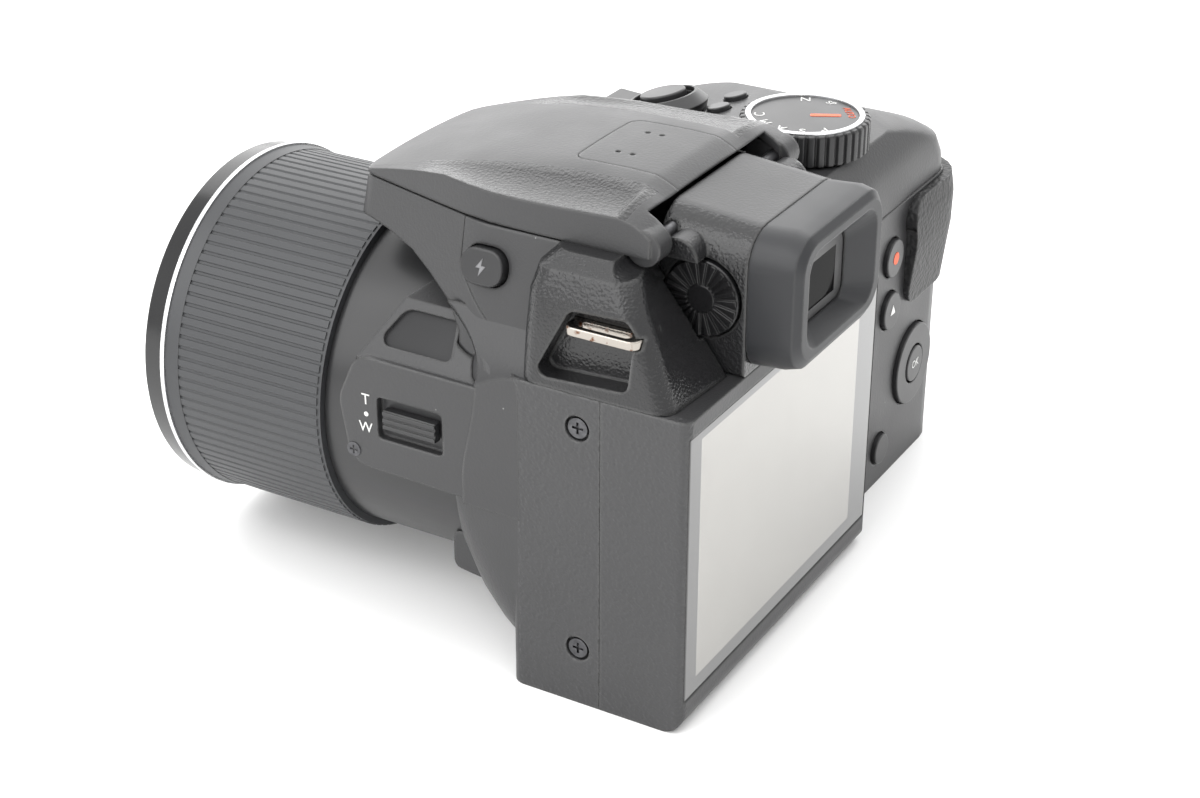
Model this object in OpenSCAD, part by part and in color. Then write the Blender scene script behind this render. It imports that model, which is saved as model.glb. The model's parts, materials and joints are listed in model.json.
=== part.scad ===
// Bridge camera with a long zoom lens: moulded covers, lens, pop-up flash, finder, screen and controls.
// Frame: origin at the tripod bush's mouth on the base, lens towards -Y, screen towards +Y, +Z up, in mm.

/* [Case] */
// Left side panel, from the lens axis
case_left = 33.7; // [32:0.1:36]
// Grip side of the case under its rubber, from the lens axis
case_right = 87.4; // [86:0.1:92]
// Front face behind the lens collar
front_y = 0.6; // [-1:0.1:2]
// Rear face round the screen
rear_y = 32.6; // [31.5:0.1:36]
// Rear face beside the screen
side_rear_y = 25.5; // [24.5:0.1:28]
// Edge of the screen's block, from the lens axis
block_x = 36; // [35.6:0.1:40]
// Seam between front cover and rear cover
split_y = 17.4; // [16.8:0.1:20]
// Seam between the lower covers and the top cover
seam_z = 56; // [55.5:0.1:58]
// Top of the deck under the mode dial
deck_z = 68.5; // [67:0.1:71]
// Fall of the deck towards the shutter button, in degrees
deck_tilt = 14; // [10:0.5:16]
// Moulded wall
wall = 2; // [1.6:0.1:2.3]
// Grip's inner side, from the lens axis
grip_in = 50; // [49:0.1:50.5]
// Grip's front
grip_front = -36.5; // [-40:0.1:-36]
// Rubber on the grip and the thumb rest
rubber_t = 1.5; // [1:0.1:2]
// Tripod bush, behind the front face's datum
tripod_y = 12; // [11:0.1:14]

/* [Lens] */
// Lens axis over the base
lens_z = 35.65; // [34:0.05:37]
// Front of the lens, ahead of the tripod bush
lens_front = 75; // [72:0.1:80]
// Radius of the smooth barrel behind the sleeve
barrel_r = 29.7; // [28.5:0.1:30]
// Rear end of the ribbed sleeve, ahead of the tripod bush
sleeve_rear = 37.45; // [37:0.05:42]
// How far the sleeve's ribs stand out of the barrel
rib_out = 1.5; // [1.2:0.1:1.8]
// Depth of the ribs
rib_depth = 0.4; // [0.3:0.05:0.8]
// Number of ribs
rib_count = 104; // [60:1:140]
// How far the bright ring stands out of the barrel
bright_out = 2.2; // [1.9:0.1:2.6]
// Bright ring's width
bright_w = 0.8; // [0.5:0.1:1.5]
// Width of the black front ring
front_ring_w = 4.05; // [3:0.05:6]
// Wall of the telescoping barrels
tube_t = 1.3; // [1:0.1:1.6]
// Length of the telescoping barrels
tube_len = 50; // [40:1:54]
// Travel of each telescoping barrel
lens_travel = 34; // [20:1:36]

/* [Hump and flash] */
// Seam under the flash lid
lid_z = 76.3; // [76:0.1:77]
// Top of the flash lid
crown_z = 83.9; // [83.5:0.1:86]
// Half width of the hump at the lid's seam
hump_w = 24.5; // [23.5:0.1:26]
// Half width of the hump where it leaves the body
hump_low_w = 29; // [28:0.1:30.5]
// Front of the lid
lid_front = -37.2; // [-38:0.1:-36]
// Half width of the hump's nose at the lid's seam
nose_w = 16.5; // [15:0.1:18]
// Depth of the hollow along each side of the lid
scallop = 0.7; // [0.3:0.1:1]
// Flash hinge, behind the tripod bush
hinge_y = 19; // [18.5:0.1:19.5]
// Flash hinge over the base
hinge_z = 77.6; // [77.4:0.1:78.2]
// Radius of the lid's ears
ear_r = 2.9; // [2.5:0.1:3.2]
// Wall of the lid
lid_t = 1.6; // [1.2:0.1:2]

/* [Viewfinder] */
// Half width of the viewfinder housing
finder_w = 16; // [15:0.1:16.5]
// Top of the viewfinder housing at its front
finder_z = 81.1; // [80:0.1:82]
// Front of the viewfinder housing
finder_y = 17.7; // [17.6:0.1:18.4]
// Rear of the eyecup
eyecup_y = 41.2; // [40:0.1:44]
// Radius of the dioptre wheel
dioptre_r = 6.3; // [5.5:0.1:6.6]

/* [Controls] */
// Radius of the mode dial
dial_r = 11.5; // [10:0.1:12]
// Height of the mode dial
dial_h = 5.8; // [5:0.1:7]
// Radius of the shutter button
shutter_r = 4.4; // [3.8:0.1:4.8]
// Radius of the zoom ring round it
zoom_ring_r = 8.3; // [7.6:0.1:9]
// Radius of the movie and playback buttons
key_r = 3.6; // [3:0.1:4]
// Radius of the selector pad
selector_r = 8; // [7:0.1:8.6]
// Radius of the OK button in its middle
ok_r = 3.6; // [3:0.1:4.2]
// How far the buttons stand out
key_out = 0.9; // [0.5:0.1:1.5]

/* [Power] */
// Radius of one battery cell
cell_r = 7.2; // [7:0.05:7.25]
// Length of one battery cell
cell_len = 50.5; // [48:0.1:51]
// Middle between neighbouring cells
cell_pitch = 14.8; // [14.7:0.05:15.2]
// Wall of the battery door
door_t = 1.8; // [1.4:0.1:2.2]

/* [Fits] */
// Clearance round what moves
gap = 0.3; // [0.25:0.05:0.4]
// Clearance between fixed pieces
fit = 0.1; // [0.05:0.05:0.2]

/* [Hidden] */
black = [0.16, 0.16, 0.17];
dark = [0.1, 0.1, 0.11];
grey = [0.45, 0.45, 0.47];
steel = [0.75, 0.75, 0.78];
glass = [0.5, 0.6, 0.65];
green = [0.12, 0.35, 0.2];
far = 400;

// Lens stations along Y
rib_r = barrel_r + rib_out;
bright_r = barrel_r + bright_out;
bright_y = -lens_front + front_ring_w;
sleeve_front = bright_y + bright_w;
base_bore = barrel_r - 1.5;
base_front = -lens_front + 1.4;
base_rear = front_y + 3.4;
collar_y = -10.8;
collar_front = [barrel_r + 2.9, barrel_r + 1.2];
collar_rear = case_left - 0.1;
tube1_r = base_bore - gap;
tube2_r = tube1_r - tube_t - gap;
tube_front = -lens_front + 0.6;
cell_seat = tube_front + 5;
front_lens_r = tube2_r - tube_t - 5;

// Case
base_t = 2;
grip_lean = 4;
thumb_r = 9;
hump_seam = -12.8;
hump_rear = finder_y - 0.3;
bay_z = 67.8;

// Controls
dial_at = [-48, 11.5];
shutter_at = [-61.3, -23.1];
tilt_from = -5;
top_key_r = 2.2;
power_at = [-69, -12.6];
expo_at = [-61.7, -12.4];
movie_at = [-57.9, 46.6];
play_at = [-58, 36];
back_at = [-57.3, 7.5];
finder_key_at = [-46, 51];
selector_at = [-70.5, 20];
key_board_y = side_rear_y - wall - 4.4;
flange_t = 1;
flash_key_at = [-7.5, 69.7];
lean = atan((hump_low_w - hump_w) / (lid_z - seam_z));
flash_key_x = hump_w + (lid_z - flash_key_at[1]) * tan(lean);
slider_at = [-18, 42];
side_x = barrel_r + 3.6;

// Battery
cell_x = [-75.6, -75.6 + cell_pitch];
cell_y = [-18, -18 + cell_pitch];
cell_z = base_t + 1.6;
box_t = 1;
box_top = cell_z + cell_len + 3;
box_rear = cell_y[1] + cell_r + gap + box_t;

// Tripod bush
tripod_r = 5.2;
tripod_bore = 2.6;

// Screen
foot_r = 4;
screen_in = 0.9;
screen_z = [6.15, 53.1];
glass_t = 1.2;

function unit(v) = v / norm(v);
function flat(p) = [p[0], p[1]];

// Points of an arc that rounds corner b between a and c, each [x, y, radius]
function corner(a, b, c, n) =
  let (p = flat(b), u = unit(flat(a) - p), v = unit(flat(c) - p), half = acos(u * v) / 2)
  let (o = p + unit(u + v) * b[2] / sin(half), s = p + u * b[2] / tan(half) - o,
    e = p + v * b[2] / tan(half) - o)
  let (a0 = atan2(s[1], s[0]), turn = (atan2(e[1], e[0]) - a0 + 540) % 360 - 180)
  [for (i = [0 : n]) o + b[2] * [cos(a0 + turn * i / n), sin(a0 + turn * i / n)]];

// Outline of a polygon whose corners are rounded by their own radii
function rounded(C, n = 6) =
  let (k = len(C))
  [for (i = [0 : k - 1]) each corner(C[(i + k - 1) % k], C[i], C[(i + 1) % k], n)];

// The same corners moved inwards by g, for a counter-clockwise outline
function inset(C, g) =
  let (k = len(C))
  [for (i = [0 : k - 1])
    let (p = flat(C[i]), u = unit(flat(C[(i + k - 1) % k]) - p), v = unit(flat(C[(i + 1) % k]) - p))
    let (s = sign(cross(-u, v)), q = p + s * unit(u + v) * g / sin(acos(u * v) / 2))
    [q[0], q[1], max(C[i][2] - s * g, 0.2)]];

function at_z(P, z) = [for (p = P) [p[0], p[1], z]];
function at_y(P, y) = [for (p = P) [p[0], y, p[1]]];
function box_corners(x0, y0, x1, y1, r) = [[x1, y0, r], [x1, y1, r], [x0, y1, r], [x0, y0, r]];

// Solid through rings of equal point counts, counter-clockwise seen from the last ring
module loft(S) {
  n = len(S[0]);
  m = len(S);
  sides = [for (i = [0 : m - 2], j = [0 : n - 1])
    let (a = i * n + j, b = i * n + (j + 1) % n) each [[a, a + n, b + n], [a, b + n, b]]];
  ends = [[for (j = [0 : n - 1]) j], [for (j = [n - 1 : -1 : 0]) (m - 1) * n + j]];
  polyhedron([for (s = S) each s], concat(sides, ends));
}

// Revolve about the lens axis of a profile of [radius, y] points
module lathe(P) {
  translate([0, 0, lens_z]) rotate([-90, 0, 0]) rotate_extrude($fn = 120) polygon(P);
}

// Prism along Y of an outline in x and z, from y0 to y1
module along_y(P, y0, y1) {
  translate([0, y1, 0]) rotate([90, 0, 0]) linear_extrude(y1 - y0) polygon(P);
}

// Prism along X of an outline in y and z, from x0 to x1
module along_x(P, x0, x1) {
  translate([x0, 0, 0]) rotate([90, 0, 90]) linear_extrude(x1 - x0) polygon(P);
}

// Moves the stations along Y, which count from 75 mm behind the lens front, to the tripod bush's origin
module place() {
  translate([0, -tripod_y, 0]) children();
}

module block(a, b) {
  translate(a) cube(b - a);
}

module rod_x(x0, x1, y, z, r) {
  translate([x0, y, z]) rotate([0, 90, 0]) cylinder(r = r, h = x1 - x0, $fn = 48);
}

module rod_y(x, y0, y1, z, r) {
  translate([x, y0, z]) rotate([-90, 0, 0]) cylinder(r = r, h = y1 - y0, $fn = 48);
}

// Plan of the case: side panel, screen block, thumb side, grip and the face behind the lens
root_r = 8;

plan = [
  [case_left, front_y, 2.5],
  [case_left, rear_y, 1.6],
  [-block_x, rear_y, 1.5],
  [-block_x - 1.5, side_rear_y, 2],
  [-case_right, side_rear_y, thumb_r],
  [-case_right, grip_front + 8.5, 16],
  [-70, grip_front, 14],
  [-grip_in, grip_front + grip_lean, 7],
  [-grip_in, front_y, root_r]];

module case_wall() {
  difference() {
    linear_extrude(seam_z) polygon(rounded(plan));
    translate([0, 0, -1]) linear_extrude(seam_z + 2) polygon(rounded(inset(plan, wall)));
  }
}

// Plan of the hump, from t = 0 where it leaves the body to t = 1 at the lid's seam
function hump_plan(t, g) =
  let (w = hump_low_w + (hump_w - hump_low_w) * t, f = lid_front - 1.6 * (1 - t), n = nose_w + 4 * (1 - t))
  inset([[w, hump_rear, 2.6], [-w, hump_rear, 2.6], [-w, -9, 14], [-n, f, 4], [n, f, 4], [w, -9, 14]], g);

module hump(g, z1) {
  loft([for (z = [seam_z - 4, z1]) at_z(rounded(hump_plan((z - seam_z) / (lid_z - seam_z), g)), z)]);
}

// Hump's side walls with the floor of the flash bay
module hump_shell() {
  difference() {
    hump(0, lid_z - gap);
    difference() {
      hump(wall, lid_z + 2);
      block([-far, -far, bay_z - 1.6], [far, far, bay_z]);
    }
    lathe([[0, -lens_front], [barrel_r + fit, -lens_front], [barrel_r + fit, far], [0, far]]);
  }
}

// Part of the hump on the front cover: its seam runs down the side, then back to the body's front
module front_of_hump(g) {
  back = front_y + wall + g;
  along_x([[-far, seam_z - 1], [back, seam_z - 1], [back, 58.4 + g], [-1.5 + g, 58.8 + g],
    [-5 + g, 59.8 + g],
    [-8.6 + g, 63.4], [hump_seam + 0.6 + g, 67.4], [hump_seam + g, 69], [hump_seam + g, far], [-far, far]],
    -hump_low_w - 0.6, hump_low_w + 0.6);
}

// What lies under the hump's curved lower edge, ahead of the body
module under_hump() {
  edge = [[-60, 70], [-34.5, 69.6], [-30, 69], [-24, 67.5], [-19.5, 65.2], [-14.6, 62.2], [-11.6, 58.2],
    [-10.4, 48]];
  along_x(concat(edge, [[-60, 48]]), -far, far);
}

module front_cover() color(black) place() {
  difference() {
    union() {
      intersection() {
        case_wall();
        block([-far, -far, -1], [far, split_y, far]);
      }
      intersection() {
        collar(0);
        union() {
          block([-far, -far, 0], [far, far, seam_z]);
          block([-far, -far, 0], [far, front_y - fit, seam_z + 2.2]);
        }
        collar_slope();
      }
      difference() {
        intersection() {
          hump_shell();
          front_of_hump(0);
        }
        under_hump();
      }
      along_x(rounded([[-15.6, 12.5, 1.5], [-8, 11.5, 1], [-8, 20, 1], [-15.6, 19.5, 1.5]], 3), 17, 25.2);
    }
    lathe([[0, -lens_front], [barrel_r + fit, -lens_front], [barrel_r + fit, base_rear + 2],
      [0, base_rear + 2]]);
    screw_holes();
    terminal_bay();
    flash_key_frame() {
      pill(flash_key_pill, gap, -8, 8);
      pill(flash_key_pill, 0.9 + gap, -7, -wall - 0.05);
    }
  }
}

// Ring of the front cover round the lens: round at its front edge and squarer where it joins the body
function collar_ring(y, grow) =
  let (t = max(0, min(1, (y - collar_y) / (front_y - collar_y))), n = 2 + 3.4 * t,
    rx = collar_front[0] + (collar_rear - collar_front[0]) * t + grow,
    rz = collar_front[1] + (collar_rear - collar_front[1]) * t + grow)
  at_y([for (i = [0 : 63]) let (c = cos(360 * i / 64), s = sin(360 * i / 64))
    [rx * sign(c) * pow(abs(c), 2 / n), lens_z + rz * sign(s) * pow(abs(s), 2 / n)]], y);

// Keeps what lies under the slopes that lead from the hump's foot down to the side panel
module collar_slope() {
  w = hump_low_w + seam_z + 2.2;
  along_y([[0, w], [-w, 0], [0, -w], [w, 0]], -far, far);
}

module collar(g) {
  depth = front_y - collar_y;
  loft([for (p = [[depth + wall, 0], [depth, 0], [0.7 * depth, 0], [0.35 * depth, 0], [0.9, 0], [-g, -0.8]])
    collar_ring(collar_y + p[0], p[1] + g)]);
}

screw_y = 13.4;
screw_zs = [10.4, 50.3];
screw_head_r = 2.1;
screw_shank_r = 1;

module screw_holes() {
  for (z = screw_zs) {
    rod_x(case_left - 1.3, case_left + 1, screw_y, z, screw_head_r + fit);
    rod_x(case_left - 9, case_left, screw_y, z, screw_shank_r + fit);
  }
}

module case_screws() color(steel) place() {
  for (z = screw_zs) {
    difference() {
      union() {
        rod_x(case_left - 1.2, case_left - 0.2, screw_y, z, screw_head_r);
        rod_x(case_left - 6.4, case_left - 1.2, screw_y, z, screw_shank_r);
      }
      block([case_left - 0.7, screw_y - 1.2, z - 0.25], [case_left, screw_y + 1.2, z + 0.25]);
      block([case_left - 0.7, screw_y - 0.25, z - 1.2], [case_left, screw_y + 0.25, z + 1.2]);
    }
  }
}

terminal_y = [4, 16.2];
terminal_z = [8, 32];

module terminal_bay() {
  block([-case_right - 1, terminal_y[0], terminal_z[0]],
    [-case_right + wall + 1, terminal_y[1], terminal_z[1]]);
}

// Flap over the sockets, hinged along its front edge
module terminal_cover() color(dark) place() {
  t = 1.4;
  difference() {
    block([-case_right, terminal_y[0] + gap, terminal_z[0] + gap],
      [-case_right + t, terminal_y[1] - gap, terminal_z[1] - gap]);
    translate([-case_right, terminal_y[1] - 2.2, (terminal_z[0] + terminal_z[1]) / 2])
      cylinder(r = 0.5, h = 5, center = true, $fn = 24);
  }
}

module terminal_sockets() color(steel) place() {
  x1 = -case_right + wall + 1;
  y = box_rear + 5.4;
  block([x1 + 6, box_rear, terminal_z[0] - 2], [x1 + 7.2, terminal_y[1] + 0.5, terminal_z[1] + 2]);
  for (z = [14, 25]) {
    difference() {
      block([x1, y - 4, z - 3], [x1 + 6, y + 4, z + 3]);
      block([x1 - 1, y - 3.4, z - 1.6], [x1 + 4, y + 3.4, z + 1.6]);
    }
  }
}

module rear_cover() color(black) place() {
  difference() {
    union() {
      intersection() {
        case_wall();
        block([-far, split_y + fit, -1], [far, far, far]);
      }
      block([-block_x + wall - 0.5, side_rear_y - 2, seam_z - wall],
        [case_left - wall + 0.5, rear_y - 1, seam_z]);
      for (p = [[-48, 30], [-77, 36]]) rod_y(p[0], key_board_y + 1.4, side_rear_y - 1, p[1], 2);
    }
    screen_opening();
    foot_edge();
    for (k = [[movie_at, key_r], [play_at, key_r], [back_at, key_r - 0.6], [finder_key_at, key_r - 0.8]])
      rod_y(k[0][0], side_rear_y - wall - 1, side_rear_y + 5, k[0][1], k[1] + gap);
    rod_y(selector_at[0], side_rear_y - wall - 1, side_rear_y + 5, selector_at[1], selector_r + gap);
  }
}

// What the rounded edge along the bottom of the screen block leaves out
module foot_edge() {
  difference() {
    block([-far, rear_y - foot_r, -1], [far, rear_y + 1, foot_r]);
    rod_x(-far, far, rear_y - foot_r, foot_r, foot_r);
  }
}

module screen_opening() {
  x = [-block_x + screen_in, case_left - screen_in];
  block([x[0] - fit, rear_y - glass_t, screen_z[0] - fit], [x[1] + fit, rear_y + 1, screen_z[1] + fit]);
  block([x[0] + 2.5, rear_y - wall - 3, screen_z[0] + 2], [x[1] - 2.5, rear_y, screen_z[1] - 2]);
}

module screen_glass() color(glass) place() {
  block([-block_x + screen_in, rear_y - glass_t, screen_z[0]],
    [case_left - screen_in, rear_y - 0.1, screen_z[1]]);
}

module screen_panel() color(dark) place() {
  x = [-block_x + screen_in + 2.5, case_left - screen_in - 2.5];
  block([x[0] + fit, rear_y - glass_t - 4, screen_z[0] + 2 + fit],
    [x[1] - fit, rear_y - glass_t, screen_z[1] - 2 - fit]);
}

// Rings of the deck on the grip side, which falls away to the side, rear and front
function grip_ring(side, back, ahead, g) =
  rounded(inset([
    [-grip_in - ahead / 3, grip_front + grip_lean + ahead, 7],
    [-grip_in - ahead / 3, side_rear_y - back, 0.5],
    [-case_right + side, side_rear_y - back, thumb_r],
    [-case_right + side, grip_front + 8.5 + ahead, 16 - side / 2],
    [-70, grip_front + ahead, 12]], g));

function bridge_ring(side, back, ahead, g) =
  inset(box_corners(-grip_in - 9, front_y, -22, side_rear_y - back, 0), g);

deck_steps = [[0, 0, 0, 0], [0.6, 0.3, 0.6, 0.25], [2.4, 0.8, 1.6, 0.53], [6.5, 1.8, 3.6, 0.72],
  [11.5, 3.2, 6.5, 0.88],
  [17, 4.5, 9, 1]];

// Deck in two lofts, over the grip and between the grip and the hump, with the root of the grip filled
module deck(g) {
  d = deck_z - seam_z - g;
  difference() {
    union() {
      loft([for (s = deck_steps) at_z(grip_ring(s[0], s[1], s[2], g),
        seam_z + (s[3] > 0 ? d * s[3] : -2))]);
      loft([for (s = deck_steps)
        at_z([for (c = bridge_ring(s[0], s[1], s[2], g)) [c[0], c[1]]],
          seam_z + (s[3] > 0 ? d * s[3] : -2))]);
      if (g == 0) difference() {
        block([-grip_in - 4, front_y - root_r, seam_z - 2], [-grip_in + root_r, front_y + 3, deck_z - 4]);
        translate([-grip_in + root_r, front_y - root_r, 0]) cylinder(r = root_r, h = far, $fn = 64);
      }
    }
    translate([0, tilt_from, deck_z - g]) rotate([deck_tilt, 0, 0]) block([-far, -far, 0], [far, 20, far]);
  }
}

// Left shoulder that carries the strap lug, with the slope down to the screen
function shoulder_ring(x1, y0, y1, y2, r, g) =
  rounded(inset([[x1, y0, r], [x1, y1, r], [finder_w + 0.3, y2, 0.5], [finder_w + 0.3, y0, 0.5]], g));

module shoulder(g) {
  x = case_left;
  z0 = seam_z;
  h = 20.3 - g;
  loft([
    at_z(shoulder_ring(x, 2.6, 29.2, 30.2, 3, g), z0 - (g > 0 ? 1 : 0)),
    at_z(shoulder_ring(x - 0.5, 2.8, 26.6, 24, 3.2, g), z0 + h * 0.4),
    at_z(shoulder_ring(x - 1.4, 3, 24.2, 18.6, 3.4, g), z0 + h * 0.72),
    at_z(shoulder_ring(x - 3, 3.6, 22.8, 15.6, 3.6, g), z0 + h * 0.9),
    at_z(shoulder_ring(x - 6, 5.4, 20.4, 14, 3.4, g), z0 + h)]);
}

lug_y = [10.8, 23.6];
lug_z = 65.6;
lug_t = 1.5;
pocket_x = 29.8;
right_lug = [2.5, 12.5, 58.2];

module lug_pocket() {
  along_x(rounded([[7, 57.6, 1.5], [22, 58.4, 1.5], [22.8, 67.4, 1.5], [21, 69.6, 1.5], [11.4, 69.2, 2],
    [6.2, 59, 1]], 3),
    pocket_x, far);
}

module strap_lugs() color(steel) place() {
  difference() {
    linear_slab(box_corners(pocket_x - 2.5, lug_y[0], case_left, lug_y[1], 1.6), lug_z, lug_t);
    linear_slab(box_corners(case_left - 2.9, lug_y[0] + 2, case_left - 1.2, lug_y[1] - 2, 0.7), lug_z - 1,
      lug_t + 2);
  }
  x = -case_right - rubber_t + 0.3;
  difference() {
    linear_slab(box_corners(x, right_lug[0], x + 6, right_lug[1], 1.4), right_lug[2], lug_t);
    linear_slab(box_corners(x + 1, right_lug[0] + 2, x + 2.6, right_lug[1] - 2, 0.6), right_lug[2] - 1,
      lug_t + 2);
  }
}

module linear_slab(C, z, h) {
  translate([0, 0, z]) linear_extrude(h) polygon(rounded(C, 4));
}

module top_cover() color(black) place() {
  hump_rear_part();
  deck_part();
  shoulder_part();
}

module hump_rear_part() {
  difference() {
    hump(0, lid_z - gap);
    difference() {
      hump(wall, lid_z + 2);
      block([-far, -far, bay_z - 1.6], [far, hump_rear - wall, bay_z]);
    }
    front_of_hump(fit);
    block([-finder_w, hump_rear - wall - 2, 0], [finder_w, far, far]);
    block([-far, -far, 0], [far, far, seam_z + fit]);
    flash_key_frame() {
      pill(flash_key_pill, gap, -8, 8);
      pill(flash_key_pill, 0.9 + gap, -7, -wall - 0.05);
    }
    pin_holes();
  }
}

// Deck on the grip side with the openings of its controls
module deck_part() {
  difference() {
    union() {
      difference() {
        deck(0);
        deck(wall);
      }
      shutter_boss();
    }
    hump(wall / 2, lid_z + 2);
    block([-far, -far, 0], [far, far, seam_z + fit]);
    block([-hump_low_w - 0.6, -far, 0], [far, front_y + wall + fit, far]);
    block([-finder_w - gap, finder_y - gap, 0], [far, far, far]);
    block([-far, right_lug[0] - fit, right_lug[2] - fit],
      [-case_right + 6, right_lug[1] + fit, right_lug[2] + lug_t + fit]);
    translate([dial_at[0], dial_at[1], seam_z]) cylinder(r = dial_shaft_r + 0.1, h = far, $fn = 48);
    for (p = [power_at, expo_at]) on_deck(p) translate([0, 0, -6])
      cylinder(r = top_key_r + gap, h = 20, $fn = 48);
    on_deck(shutter_at) translate([0, 0, -6]) cylinder(r = shutter_r + gap, h = 20, $fn = 48);
  }
}

// Left shoulder with the pocket of the strap lug
module shoulder_part() {
  difference() {
    shoulder(0);
    shoulder(wall + 3.2);
    hump(wall / 2, lid_z + 2);
    block([-far, -far, 0], [far, far, seam_z + fit]);
    lug_pocket();
    block([pocket_x - 3, lug_y[0] - fit, lug_z - fit], [far, lug_y[1] + fit, lug_z + lug_t + fit]);
    rod_x(finder_w, finder_w + 1.8, dioptre_at[0], dioptre_at[1], dioptre_r + gap);
    pin_holes();
  }
}

// Places children on the falling part of the deck, with z out of it
module on_deck(p) {
  translate([p[0], p[1], deck_z - (tilt_from - p[1]) * tan(deck_tilt)]) rotate([deck_tilt, 0, 0])
    children();
}

boss_r = shutter_r + gap + 0.9;

module shutter_boss() {
  on_deck(shutter_at) translate([0, 0, -1]) cylinder(r = boss_r, h = 3, $fn = 48);
}

module shutter_button() color(black) place() {
  on_deck(shutter_at) {
    translate([0, 0, -wall - 0.4]) cylinder(r = shutter_r, h = wall + 4.9, $fn = 64);
    translate([0, 0, -wall - gap - flange_t - 0.1]) cylinder(r = shutter_r + 1.2, h = flange_t, $fn = 64);
  }
}

// Ring round the shutter button, with a finger tab at its front
module zoom_ring() color(black) place() {
  tab_w = 3.4;
  tab_y = -zoom_ring_r - 4;
  on_deck(shutter_at) difference() {
    union() {
      translate([0, 0, gap]) cylinder(r1 = zoom_ring_r - 0.6, r2 = zoom_ring_r, h = 1.4, $fn = 64);
      translate([0, 0, gap + 1.4]) cylinder(r1 = zoom_ring_r, r2 = zoom_ring_r - 1.8, h = 2, $fn = 64);
      along_x(rounded([[tab_y + 1.6, gap + 0.6, 0.8], [-6, gap + 0.3, 0.3], [-6, gap + 2.8, 0.5],
        [tab_y, gap + 4.8, 0.7]]), -tab_w, tab_w);
    }
    translate([0, 0, -1]) cylinder(r = boss_r + gap, h = 8, $fn = 64);
    translate([0, 0, gap + 2.4]) cylinder(r = shutter_r + 1.6, h = 8, $fn = 64);
  }
}

dial_shaft_r = 3;

module mode_dial() color(black) place() {
  n = 40;
  translate([dial_at[0], dial_at[1], deck_z + gap]) {
    difference() {
      linear_extrude(dial_h)
        polygon([for (i = [0 : 2 * n - 1]) let (r = i % 2 == 0 ? dial_r : dial_r - 0.5)
          r * [cos(180 * i / n), sin(180 * i / n)]]);
      translate([0, 0, dial_h - 0.5]) difference() {
        cylinder(r = dial_r - 1, h = 2, $fn = 64);
        cylinder(r = dial_r - 2, h = 2, $fn = 64);
      }
    }
    translate([0, 0, -gap - wall - 3]) cylinder(r = dial_shaft_r, h = wall + 3.5, $fn = 48);
  }
}

module dial_ring() color(steel) place() {
  translate([dial_at[0], dial_at[1], deck_z + gap + dial_h - 0.5]) difference() {
    cylinder(r = dial_r - 1, h = 0.8, $fn = 64);
    translate([0, 0, -1]) cylinder(r = dial_r - 2, h = 3, $fn = 64);
  }
}

module top_key(p) {
  on_deck(p) {
    translate([0, 0, -wall - 0.4]) cylinder(r = top_key_r, h = wall + 0.4 + key_out, $fn = 48);
    translate([0, 0, -wall - gap - flange_t - 0.1]) cylinder(r = top_key_r + 0.8, h = flange_t, $fn = 48);
  }
}

module power_button() color(black) place() top_key(power_at);
module exposure_button() color(black) place() top_key(expo_at);

// Button in the rear face, with a flange behind the wall
module rear_key(p, r) {
  rod_y(p[0], side_rear_y - wall - 0.4, side_rear_y + key_out, p[1], r);
  rod_y(p[0], side_rear_y - wall - gap - flange_t, side_rear_y - wall - gap, p[1], r + 1);
}

module movie_button() color(black) place() rear_key(movie_at, key_r);
module play_button() color(black) place() rear_key(play_at, key_r);
module back_button() color(black) place() rear_key(back_at, key_r - 0.6);
module finder_button() color(black) place() rear_key(finder_key_at, key_r - 0.8);

module selector_pad() color(black) place() {
  difference() {
    union() {
      rod_y(selector_at[0], side_rear_y - wall - 0.4, side_rear_y + key_out, selector_at[1], selector_r);
      rod_y(selector_at[0], side_rear_y - wall - gap - flange_t, side_rear_y - wall - gap, selector_at[1],
        selector_r + 1);
    }
    rod_y(selector_at[0], 0, far, selector_at[1], ok_r + gap);
  }
}

module ok_button() color(black) place() {
  rod_y(selector_at[0], key_board_y + 1.4 + 0.8, side_rear_y + key_out + 0.2, selector_at[1], ok_r);
}

module key_board() color(green) place() {
  block([-79, key_board_y, 3], [-42, key_board_y + 1.4, 53]);
}

// Hump's left wall at the flash button: z out of the wall, y along the case
module flash_key_frame() {
  translate([flash_key_x, flash_key_at[0], flash_key_at[1]]) rotate([0, 90 - lean, 0]) children();
}

flash_key_pill = [6, 7.8];

module pill(size, g, z0, z1) {
  x = size[0] / 2 + g;
  y = size[1] / 2 + g;
  translate([0, 0, z0]) linear_extrude(z1 - z0) polygon(rounded(box_corners(-x, -y, x, y, 2.7 + g), 5));
}

module flash_button() color(black) place() {
  flash_key_frame() {
    pill(flash_key_pill, 0, -wall - 0.4, 1.6);
    pill(flash_key_pill, 0.9, -wall - gap - flange_t - 0.1, -wall - gap - 0.1);
  }
}

// Half width of the lid along the camera: straight at the rear, tapered to the nose and round at its corner
function lid_half(y) =
  let (t = -9 - y, taper = (hump_w - nose_w) / (-9 - lid_front), q = max(0, lid_front + 2.5 - y) / 2.5)
  hump_w - taper * (t + sqrt(t * t + 12)) / 2 - 2.4 * (1 - sqrt(1 - q * q));

// Roof of the lid along the camera: it falls in a long curve to the nose and in a short one to the finder
lid_edge = 0.9;
function lid_top(y) =
  crown_z - (crown_z - lid_z - lid_edge) * pow(max(0, 8 - y) / (8 - lid_front), 2.1)
    - 1.9 * pow(max(0, y - 12.4) / 5, 1.6);

// Depth of the hollow beside the roof, which ends in a round rim near the hinge
function dish(y) = y > 14 ? -0.6 : scallop * max(0, min(1, (y + 25) / 10));

// Section of the lid across the camera, g inside its skin: flank, hollow and a nearly flat roof
roof_w = 13.4;
roof_fall = 0.4;
lip_z = 81.1;

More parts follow.
